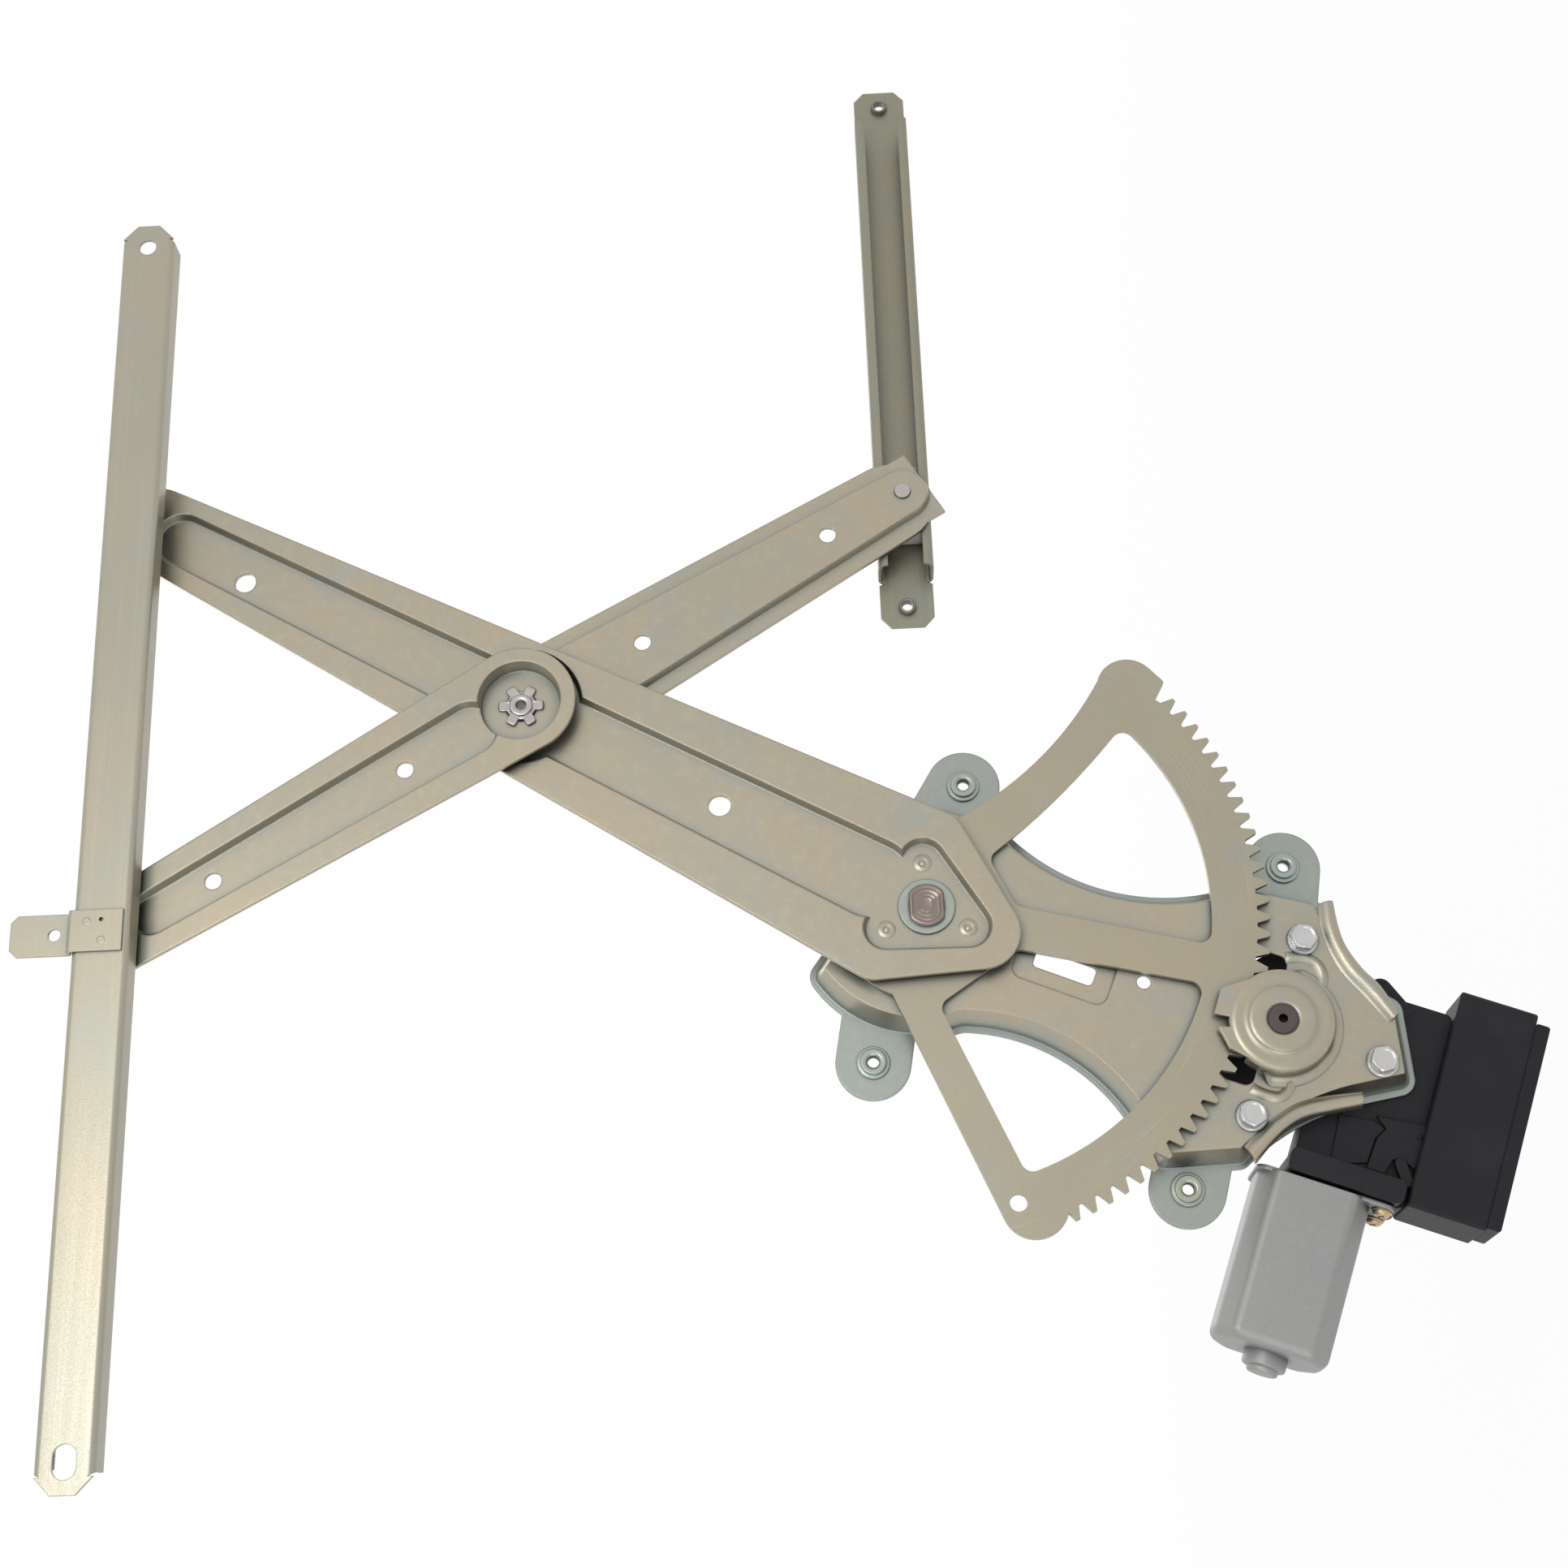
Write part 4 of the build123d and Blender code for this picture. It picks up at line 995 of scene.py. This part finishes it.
@dataclass
class Pivots(Assembly):
    """The centre rivet with its staked petals, the main pivot's turned end and the arm's weld marks.

    Attributes:
        centre: where the rivet is.
        arm_angle: the lift arm's direction in degrees.
        weld_circle: the radius of the circle that the welds stand on.
        weld_depth: the depth of the arm's front, where the welds are.
        weld_turns: the welds' directions from the arm's, in degrees.
        petals: how many petals the rivet has.
        narrow: the rivet's radius between two petals.
        petal: how far a petal reaches past that.
        pin: the radius of the pin's flatted end.
        flats: how far its flats are from its axis.
    """

    centre: Point = (99.0, 171.473)
    arm_angle: float = 60.0
    weld_circle: float = 19.6
    weld_depth: float = 5.5
    weld_turns: tuple[float, ...] = (-58.0, 58.0, 180.0)
    petals: int = 6
    narrow: float = 6.6
    petal: float = 3.3
    pin: float = 9.2
    flats: float = 7.3

    def build(self) -> None:
        """Builds the rivet, the pin's end with its ring and the weld marks."""
        self.rivet()
        self.pin_end()
        for number, turn in enumerate(self.weld_turns, 1):
            angle = math.radians(turn + self.arm_angle)
            x, z = self.weld_circle * math.cos(angle), self.weld_circle * math.sin(angle)
            form = Form(facing(x, z, self.weld_depth, 40.0 * number))
            form.turned([(4.2, -0.3), (4.0, 0.02), (3.2, 0.05), (2.7, 0.16), (2.2, 0.3),
                         (lambda a: 1.7 + 0.18 * math.sin(3 * a), 0.22), (1.3, -0.06), (0.9, 0.1),
                         (0.2, 0.16)], 30)
            self.shop.piece(form, f"arm_weld_{number}", "lift", "pressed_zinc")

    def rivet(self) -> None:
        """A hollow rivet with six petals spread over the front half."""
        def flower(shrink: float) -> Callable[[float], float]:
            """The petals' outline.

            Args:
                shrink: how much it is drawn in.

            Returns:
                The radius as a function of the angle.
            """
            def radius(angle: float) -> float:
                """Wide over a petal and narrow between two.

                Args:
                    angle: the direction in radians.

                Returns:
                    The radius.
                """
                share = clamp((math.cos(self.petals * angle) + 0.55) / 0.9)
                return self.narrow + self.petal * share * share * (3 - 2 * share) - shrink
            return radius

        form = Form(facing(*self.centre, 0.0, 30.0))
        form.turned([
            (2.3, -1.0), (9.1, -1.0), (9.5, -0.7), (9.5, 0.5), (6.9, 0.5), (6.9, 2.5), (9.5, 2.5), (9.5, 6.0),
            (6.9, 6.0), (6.4, 8.0), (flower(0.1), 8.02), (flower(0.0), 8.9), (flower(0.35), 9.35),
            (flower(1.1), 9.5), (5.6, 9.25), (5.1, 9.3), (4.9, 10.1), (4.5, 10.4), (2.9, 10.4), (2.3, 10.0),
        ], 96, looped=True)
        self.shop.piece(form, "petal_rivet", "equalizer", "rivet_steel", ["centre_rivet"], sharp=38.0)

    def pin_end(self) -> None:
        """The pin with a flatted end turned in rings, and the bright washer round it."""
        def flatted(scale: float) -> Callable[[float], float]:
            """A round with two flats."""
            return lambda angle: scale * min(self.pin, self.flats / max(abs(math.sin(angle)), 1e-6))

        form = Form(facing(0.0, 0.0, 0.0))
        rings = ((1.0, 7.0), (1.0, 8.6), (0.95, 9.15), (0.86, 9.3), (0.78, 8.95), (0.70, 9.4), (0.58, 9.1),
                 (0.50, 9.5), (0.40, 9.15), (0.31, 9.6), (0.20, 9.3), (0.06, 9.35))
        profile = [(12.4, -5.1), (13.0, -4.6), (13.0, -2.6), (8.0, -2.6), (8.0, 7.0)]
        form.turned(profile + [(flatted(share), height) for share, height in rings], 64)
        self.shop.piece(form, "pivot_end", "base", "pin_steel", ["main_pivot_pin"])
        ring = Form(facing(0.0, 0.0, 5.8))
        ring.turned([(8.0, 0.0), (11.8, 0.0), (12.0, 0.2), (12.0, 0.9), (11.7, 1.15), (11.2, 1.2),
                     (8.0, 1.2)], 64, looped=True)
        self.shop.piece(ring, "pivot_ring", "base", "nut_zinc", ["pivot_washer"])


@dataclass
class PlateTrim(Assembly):
    """The base plate's rolled edges, the domed cap over the pinion and the pressed steps beside it.

    Attributes:
        plate_front: the depth of the plate's front.
        upper_roll: the inner and the outer line of the upper rolled edge.
        lower_roll: the inner and the outer line of the lower rolled edge.
        roll_profile: a roll's section, as the share from inner to outer line and the height.
        steps: the lines that the pressed steps follow.
        step_profile: a step's section, as the distance from its line and the height.
        cap: where the cap's middle is.
        open_side: the direction of the cap's open side, in degrees.
        face: the cap's face, as radius and height.
        skirt: its flare down to the plate, as radius and height.
        lip: its rim on the open side, row by row beside the skirt.
    """

    plate_front: float = -0.6
    upper_roll: tuple[tuple[Point, ...], tuple[Point, ...]] = (
        ((-4.4, -164.9), (-13.7, -164.4), (-24.1, -166.6), (-35.0, -171.2), (-46.1, -179.6), (-57.0, -188.0)),
        ((-3.5, -171.0), (-14.4, -172.0), (-23.7, -174.4), (-33.7, -180.2), (-41.5, -186.8), (-53.5, -192.6)),
    )
    lower_roll: tuple[tuple[Point, ...], tuple[Point, ...]] = (
        ((-106.0, -123.5), (-98.5, -131.2), (-92.7, -139.8), (-88.7, -147.8), (-86.8, -157.6),
         (-85.6, -174.0)),
        ((-112.5, -127.5), (-105.6, -134.0), (-99.4, -141.2), (-95.0, -149.4), (-92.9, -160.5),
         (-91.0, -173.4)),
    )
    roll_profile: tuple[Point, ...] = ((0.0, -0.5), (0.12, -0.45), (0.26, 0.5), (0.42, 1.5), (0.6, 1.9),
                                       (0.8, 1.5), (0.94, 0.3), (1.0, -1.2), (1.02, -3.4))
    steps: tuple[tuple[Point, ...], ...] = (
        ((-27.0, -148.6), (-27.4, -156.4), (-30.6, -161.6), (-36.4, -163.4), (-42.0, -161.4)),
        ((-81.8, -128.9), (-84.4, -133.2), (-86.1, -139.6), (-83.6, -143.6), (-79.4, -145.2),
         (-76.6, -148.8)),
    )
    step_profile: tuple[Point, ...] = ((-2.4, -0.1), (-1.5, 0.25), (-0.7, 1.0), (0.1, 1.3), (0.9, 1.05),
                                       (1.8, 0.4), (2.8, -0.1))
    cap: Point = (-56.07, -143.08)
    open_side: float = 68.6
    face: tuple[Point, ...] = ((6.5, 9.0), (6.8, 9.7), (7.8, 9.85), (12.2, 9.85), (13.4, 9.6), (14.2, 8.9),
                               (15.0, 8.3), (16.4, 8.2), (18.8, 8.35), (20.4, 8.1), (21.5, 7.2))
    skirt: tuple[Point, ...] = ((21.9, 6.4), (22.0, 4.2), (22.2, 2.2), (22.8, 0.9), (24.4, 0.0),
                                (26.4, -0.45))
    lip: tuple[Point, ...] = ((21.7, 6.8), (21.7, 6.5), (21.4, 6.2), (20.9, 6.1), (20.5, 6.1), (20.3, 6.1))

    def build(self) -> None:
        """Builds the rolls, the steps and the cap."""
        for name, (inner, outer) in (("upper", self.upper_roll), ("lower", self.lower_roll)):
            self.roll(f"plate_roll_{name}", inner, outer)
        for number, line in enumerate(self.steps, 1):
            self.step(f"plate_step_{number}", line)
        self.dome()

    def roll(self, name: str, inner: Sequence[Point], outer: Sequence[Point]) -> None:
        """A rounded bead between two lines that turns down over the plate's edge.

        Args:
            name: the piece's name.
            inner: the line where it rises from the plate.
            outer: the line where it turns down.
        """
        form = Form(facing(0.0, 0.0, self.plate_front))
        rows = []
        for a, b in zip(curve_through(inner, 30), curve_through(outer, 30)):
            rows.append([(a[0] + (b[0] - a[0]) * t, a[1] + (b[1] - a[1]) * t, h)
                         for t, h in self.roll_profile])
        form.strip(rows)
        self.shop.piece(form, name, "base", "pressed_zinc", sheet=1.0, sharp=60.0)

    def step(self, name: str, line: Sequence[Point]) -> None:
        """The rounded shoulder of a pressed step, which fades out at both ends.

        Args:
            name: the piece's name.
            line: the line that it follows.
        """
        form = Form(facing(0.0, 0.0, self.plate_front))
        points = curve_through(line, 26)
        rows = []
        for number, (x, z) in enumerate(points):
            before, after = points[max(number - 1, 0)], points[min(number + 1, len(points) - 1)]
            dx, dz = after[0] - before[0], after[1] - before[1]
            size = math.hypot(dx, dz) or 1.0
            nx, nz = dz / size, -dx / size
            fade = math.sin(math.pi * number / (len(points) - 1)) ** 0.5
            rows.append([(x + nx * w, z + nz * w, h * fade - 0.05) for w, h in self.step_profile])
        form.strip(rows)
        self.shop.piece(form, name, "base", "pressed_zinc", sheet=0.2, sharp=60.0)

    def dome(self) -> None:
        """The cap's pressed face, flared down to the plate except where the sector passes under it."""
        form = Form(facing(*self.cap, 0.0))
        rows = [(*place, *place) for place in self.face]
        rows += [(*flared, *open_rim) for flared, open_rim in zip(self.skirt, self.lip)]
        rings = []
        for far, low, near, high in rows:
            row = []
            for angle in full_turn(96):
                share = clamp((0.12 - math.cos(angle - math.radians(self.open_side))) / 0.22)
                radius, height = near + (far - near) * share, high + (low - high) * share
                row.append((radius * math.cos(angle), radius * math.sin(angle), height))
            rings.append(form.ring(row))
        for low, high in zip(rings, rings[1:]):
            form.bridge(low, high)
        self.shop.piece(form, "pinion_cap_face", "base", "pressed_zinc", sheet=0.3, sharp=60.0)


@dataclass
class Motor(Assembly):
    """The faceted motor can with its flange, its end boss and its two screws.

    Attributes:
        pinion: where the pinion's axis is.
        angle: the direction of the motor's axis in degrees.
        offset: how far the motor's axis passes beside the pinion's.
        axis_depth: the depth of the motor's axis.
        start: how far from the pinion the can's flange is.
        length: the can's length.
        half_width: half the can's width.
        half_depth: half the can's depth.
        flat: half the width of the facets to front and back.
        shoulder: half the width of the facets to the sides.
        rounding: how far each corner between facets is rounded.
        flange: half the flange's length and width, up to its round corners.
        flange_corner: the radius of the flange's corners.
        flange_shift: how far the flange's middle is beside the can's.
        screw_side: how far the screws are beside the can's axis.
        screw_rise: how far each screw is before or behind it.
    """

    pinion: Point = (-56.07, -143.08)
    angle: float = 159.0
    offset: float = 32.4
    axis_depth: float = -26.0
    start: float = 55.5
    length: float = 71.5
    half_width: float = 23.85
    half_depth: float = 19.0
    flat: float = 16.6
    shoulder: float = 8.5
    rounding: float = 2.6
    flange: Point = (24.0, 11.0)
    flange_corner: float = 5.0
    flange_shift: float = 4.0
    screw_side: float = 28.5
    screw_rise: float = 9.0

    def seat(self, distance: float, across: float = 0.0, rise: float = 0.0) -> Seat:
        """A seat across the motor's axis, which rises away from the pinion.

        Args:
            distance: how far along the axis it is from the pinion.
            across: how far it is beside the axis.
            rise: how far it is before the axis.

        Returns:
            The seat.
        """
        c, s = math.cos(math.radians(self.angle)), math.sin(math.radians(self.angle))
        axis, side, front = Vector((c, 0, s)), Vector((-s, 0, c)), Vector((0, -1, 0))
        origin = Vector((self.pinion[0], -self.axis_depth, self.pinion[1]))
        place = origin + axis * distance + side * (self.offset + across) + front * rise
        return Seat(place, side, front, axis)

    def outline(self, inset: float) -> list[Point]:
        """The can's section: eight facets with rounded corners.

        Args:
            inset: how far it is drawn in.

        Returns:
            The corners in order.
        """
        wide, deep = self.half_width - inset, self.half_depth - inset
        flat, shoulder = self.flat - inset * 0.4, self.shoulder - inset * 0.4
        corners = [(wide, shoulder), (flat, deep)]
        loop = [(x * sx, y * sy) for sx, sy, order in ((1, 1, 1), (-1, 1, -1), (-1, -1, 1), (1, -1, -1))
                for x, y in corners[::order]]
        made = []
        for number, here in enumerate(loop):
            before, after = Vector(loop[number - 1]), Vector(loop[(number + 1) % len(loop)])
            corner = Vector(here)
            enter = corner + (before - corner).normalized() * self.rounding
            leave = corner + (after - corner).normalized() * self.rounding
            for k in range(5):
                t = k / 4
                made.append(tuple((1 - t) ** 2 * enter + 2 * t * (1 - t) * corner + t * t * leave))
        return made

    def build(self) -> None:
        """Builds the can with its flange, the boss and the screws."""
        form, end = Form(self.seat(self.start)), self.length
        form.stack([
            form.ring([(x, y, height) for x, y in self.outline(inset)])
            for height, inset in ((1.2, 0.0), (3.4, 0.0), (end - 4.5, 0.0), (end - 2.9, 0.25),
                                  (end - 1.5, 0.95), (end - 0.5, 2.2), (end - 0.1, 3.8), (end, 6.0))])
        plate = []
        for height, inset in ((0.0, 0.3), (0.3, 0.0), (1.7, 0.0), (2.0, 0.3)):
            corners = []
            for turn in full_turn(48):
                c, s = math.cos(turn), math.sin(turn)
                x = math.copysign(self.flange[0] - inset, c) + self.flange_corner * c
                y = math.copysign(self.flange[1] - inset, s) + self.flange_corner * s
                corners.append((x + self.flange_shift, y, height))
            plate.append(form.ring(corners))
        form.stack(plate)
        self.shop.piece(form, "motor_can_body", "base", "can_metal", ["motor_can"], sharp=50.0)
        boss = Form(self.seat(self.start + self.length))
        boss.turned([(9.0, -0.5), (9.0, 4.6), (8.6, 5.4), (7.6, 5.8), (6.6, 5.9), (6.4, 7.3), (5.9, 7.9),
                     (5.2, 8.0), (0.4, 8.0)], 48)
        self.shop.piece(boss, "motor_end_boss", "base", "can_metal", ["motor_bearing_boss"])
        for number, rise in enumerate((self.screw_rise, -self.screw_rise), 1):
            self.screw(number, rise)

    def screw(self, number: int, height: float) -> None:
        """A pan head with a washer flange and a cross recess.

        Args:
            number: its number.
            height: how far it is before the motor's axis.
        """
        form = Form(self.seat(self.start + 2.0, self.screw_side, height))

        def recess(angle: float, radius: float) -> float:
            """How deep the cross is cut at a place.

            Args:
                angle: the place's direction.
                radius: its distance from the screw's axis.

            Returns:
                The depth.
            """
            depth, turn, half_arm, reach = 1.1, 0.4, 0.62, 2.3
            x, y = radius * math.cos(angle + turn), radius * math.sin(angle + turn)
            return depth * clamp((half_arm - min(abs(x), abs(y))) / 0.22) * clamp((reach - radius) / 0.4)

        rings = []
        for radius, rise in ((4.4, 0.0), (4.4, 0.5), (4.1, 0.8), (3.7, 0.9), (3.55, 1.7), (3.1, 2.25),
                             (2.5, 2.5), (2.1, 2.56), (1.7, 2.6), (1.3, 2.6), (0.9, 2.6), (0.5, 2.6),
                             (0.15, 2.6)):
            row = []
            for turn in full_turn(64):
                cut = recess(turn, radius) if rise > 2.0 else 0.0
                row.append((radius * math.cos(turn), radius * math.sin(turn), rise - cut))
            rings.append(form.ring(row))
        form.stack(rings)
        self.shop.piece(form, f"cross_screw_{number}", "base", "gold_screw", [f"can_screw_{number}"])


@dataclass
class HousingForms(Assembly):
    """The moulded forms on the gear housing's front: a lug, a stepped block, a rib, a cover and two pips.

    Attributes:
        front: the depth of the housing's open front.
        lug: the two ends of the lug that shows past the plate.
        rib: the two ends of the round-ended rib.
        block: the stepped block's outline.
        cover: the low cover's outline.
        pips: where the two moulding pips are.
    """

    front: float = -15.1
    lug: tuple[Point, Point] = ((-38.6, -189.8), (-52.0, -199.0))
    rib: tuple[Point, Point] = ((-113.5, -188.4), (-123.4, -190.8))
    block: tuple[Point, ...] = (
        (-92.9, -181.3), (-98.4, -184.5), (-102.1, -180.2), (-114.6, -174.4), (-117.3, -181.3),
        (-111.6, -185.8), (-112.8, -190.4), (-118.0, -196.5), (-98.6, -203.0),
    )
    cover: tuple[Point, ...] = (
        (-91.4, -166.0), (-94.4, -180.0), (-98.4, -184.5), (-102.1, -180.2), (-112.5, -175.2),
        (-112.0, -160.0),
    )
    pips: tuple[Point, Point] = ((-102.9, -197.6), (-114.6, -193.6))

    def prism(self, name: str, outline: Sequence[Point], low: float, high: float) -> None:
        """A block with a chamfered top, in the housing's plastic.

        Args:
            name: the piece's name.
            outline: its outline.
            low: where it starts, from the housing's front.
            high: where it ends.
        """
        form = Form(facing(0.0, 0.0, self.front))
        middle = Vector((sum(a for a, _ in outline), sum(b for _, b in outline))) / len(outline)
        rings = []
        for height, inset in ((low, 0.0), (high - 0.5, 0.0), (high - 0.15, 0.2), (high, 0.5)):
            drawn_in = [Vector(point) + (middle - Vector(point)).normalized() * inset for point in outline]
            rings.append(form.ring([(*corner, height) for corner in drawn_in]))
        form.stack(rings)
        self.shop.piece(form, name, "base", "black_plastic", sharp=30.0)

    def bar(self, ends: tuple[Point, Point], radius: float) -> list[Point]:
        """The outline of a bar with one round end and one square end.

        Args:
            ends: the middle of its round end, and its square end.
            radius: half its width.

        Returns:
            The corners in order.
        """
        start, end = Vector(ends[0]), Vector(ends[1])
        along = (end - start).normalized()
        side = Vector((-along.y, along.x))
        outline = [tuple(end - side * radius), tuple(end + side * radius)]
        for k in range(13):
            turn = math.pi * k / 12
            outline.append(tuple(start + side * radius * math.cos(turn) - along * radius * math.sin(turn)))
        return outline

    def build(self) -> None:
        """Builds every form."""
        self.prism("housing_lug", self.bar(self.lug, radius=4.8), low=-12.0, high=0.3)
        self.prism("housing_block", self.block, low=-1.5, high=2.2)
        self.prism("housing_cover", self.cover, low=-1.5, high=0.9)
        self.prism("housing_rib", self.bar(self.rib, radius=2.5), low=-1.5, high=3.6)
        for number, place in enumerate(self.pips, 1):
            pip = Form(facing(*place, self.front))
            pip.turned([(1.0, 1.5), (1.0, 2.6), (0.75, 2.8), (0.1, 2.8)], 18)
            self.shop.piece(pip, f"housing_pip_{number}", "base", "black_plastic")


@dataclass
class Studio:
    """The pale floor, the soft lights and the camera at the photograph's viewing angle.

    Attributes:
        place: the camera's position in metres.
        right: the image's right in the row frame.
        down: the image's down in the row frame.
        forward: the viewing direction.
        focal_pixels: the focal length in pixels of the image.
        image_pixels: the image's side in pixels.
        sensor: the camera's sensor width in millimetres.
        aim: the point in metres that the lamps face.
        soft: the surround's colour as a light.
        floor_drop: how far in metres the floor lies under the object.
        floor_side: half the floor's side in metres.
        floor_white: the floor's share of plain white near the object.
        floor_gain: what that share gains with distance.
        floor_fade: the distances in metres between which it gains it.
    """

    place: tuple[float, float, float] = (-0.3101, -0.9768, 0.0341)
    right: tuple[float, float, float] = (-0.0343, 0.0377, -0.9987)
    down: tuple[float, float, float] = (-0.9347, 0.3526, 0.0454)
    forward: tuple[float, float, float] = (0.3538, 0.9350, 0.0232)
    focal_pixels: float = 2974.0
    image_pixels: float = 1932.0
    sensor: float = 36.0
    aim: tuple[float, float, float] = (0.05, 0.0, 0.05)
    soft: Colour = (0.62, 0.63, 0.65)
    floor_drop: float = 0.03
    floor_side: float = 12.0
    floor_white: float = 0.93
    floor_gain: float = 0.07
    floor_fade: Point = (0.5, 2.5)

    def camera(self) -> None:
        """Makes the camera."""
        data = bpy.data.cameras.new("view")
        data.sensor_width = self.sensor
        data.lens = self.focal_pixels / self.image_pixels * self.sensor
        data.clip_start, data.clip_end = 0.01, 60.0
        made = bpy.data.objects.new("view", data)
        right, up, back = Vector(self.right), -Vector(self.down), -Vector(self.forward)
        turn = Matrix((right.normalized(), up.normalized(), back.normalized())).transposed()
        made.matrix_world = Matrix.Translation(self.place) @ turn.to_4x4()
        bpy.context.scene.collection.objects.link(made)
        bpy.context.scene.camera = made

    def lamp(self, name: str, place: Sequence[float], size: float, power: float, tint: Colour) -> None:
        """Adds a soft square lamp that faces the object.

        Args:
            name: the lamp's name.
            place: its position in metres.
            size: its side in metres.
            power: its power in watts.
            tint: its colour.
        """
        data = bpy.data.lights.new(name, "AREA")
        data.size, data.energy, data.color = size, power, tint
        made = bpy.data.objects.new(name, data)
        made.location = place
        towards = Vector(self.aim) - Vector(place)
        made.rotation_euler = towards.to_track_quat("-Z", "Y").to_euler()
        bpy.context.scene.collection.objects.link(made)

    def world(self) -> None:
        """A white surround for the camera and gloss, and a softer one for the light it gives."""
        world = bpy.data.worlds.new("surround")
        bpy.context.scene.world = world
        graph = Graph(world)
        soft = graph.node("ShaderNodeBackground", {}, {"Color": (*self.soft, 1.0)})
        white = graph.node("ShaderNodeBackground", {}, {"Color": WHITE})
        inputs = {0: graph.background(), 1: soft.outputs[0], 2: white.outputs[0]}
        mixed = graph.node("ShaderNodeMixShader", {}, inputs)
        graph.node("ShaderNodeOutputWorld", {}, {"Surface": mixed.outputs[0]})

    def floor(self) -> None:
        """A wide pale floor under the object that keeps its shadow."""
        low, side = CAD_BOX[0].z - self.floor_drop, self.floor_side
        corners = [(-side, -side, low), (side, -side, low), (side, side, low), (-side, side, low)]
        mesh = bpy.data.meshes.new("floor")
        mesh.from_pydata(corners, [], [(0, 1, 2, 3)])
        made = bpy.data.objects.new("floor", mesh)
        bpy.context.scene.collection.objects.link(made)
        graph = Graph(bpy.data.materials.new("floor"))
        matt = graph.node("ShaderNodeBsdfDiffuse", {}, {"Color": (0.85, 0.85, 0.85, 1.0)})
        white = graph.node("ShaderNodeEmission", {}, {"Color": WHITE, "Strength": 1.0})
        x, y, _ = graph.axes()
        gained = self.floor_gain * ((x * x + y * y) ** 0.5).step(*self.floor_fade)
        seen = graph.background() * (self.floor_white + gained)
        mixed = graph.node("ShaderNodeMixShader", {}, {0: seen, 1: matt.outputs[0], 2: white.outputs[0]})
        graph.node("ShaderNodeOutputMaterial", {}, {"Surface": mixed.outputs[0]})
        mesh.materials.append(graph.owner)

    def build(self) -> None:
        """Builds the whole studio."""
        bpy.context.scene.view_settings.view_transform = "Standard"
        self.camera()
        self.world()
        self.floor()
        warm = (1.0, 0.99, 0.97)
        self.lamp("low front", (-0.12, -1.5, 0.6), size=0.6, power=6.6, tint=warm)
        self.lamp("under", (-1.2, -0.9, -0.2), size=0.9, power=4.0, tint=warm)
        self.lamp("back", (0.6, 1.2, 0.8), size=1.0, power=5.0, tint=(1.0, 1.0, 1.0))
        log.info("studio built")


def main() -> None:
    """Builds the studio, dresses the nodes and adds the pieces."""
    logging.basicConfig(level=logging.INFO)
    Studio().build()
    palette = Palette()
    palette.dress_nodes()
    shop = Workshop(palette)
    for assembly in (Rails, Fasteners, Pivots, PlateTrim, Motor, HousingForms):
        assembly(shop).build()


if __name__ == "__main__":
    main()
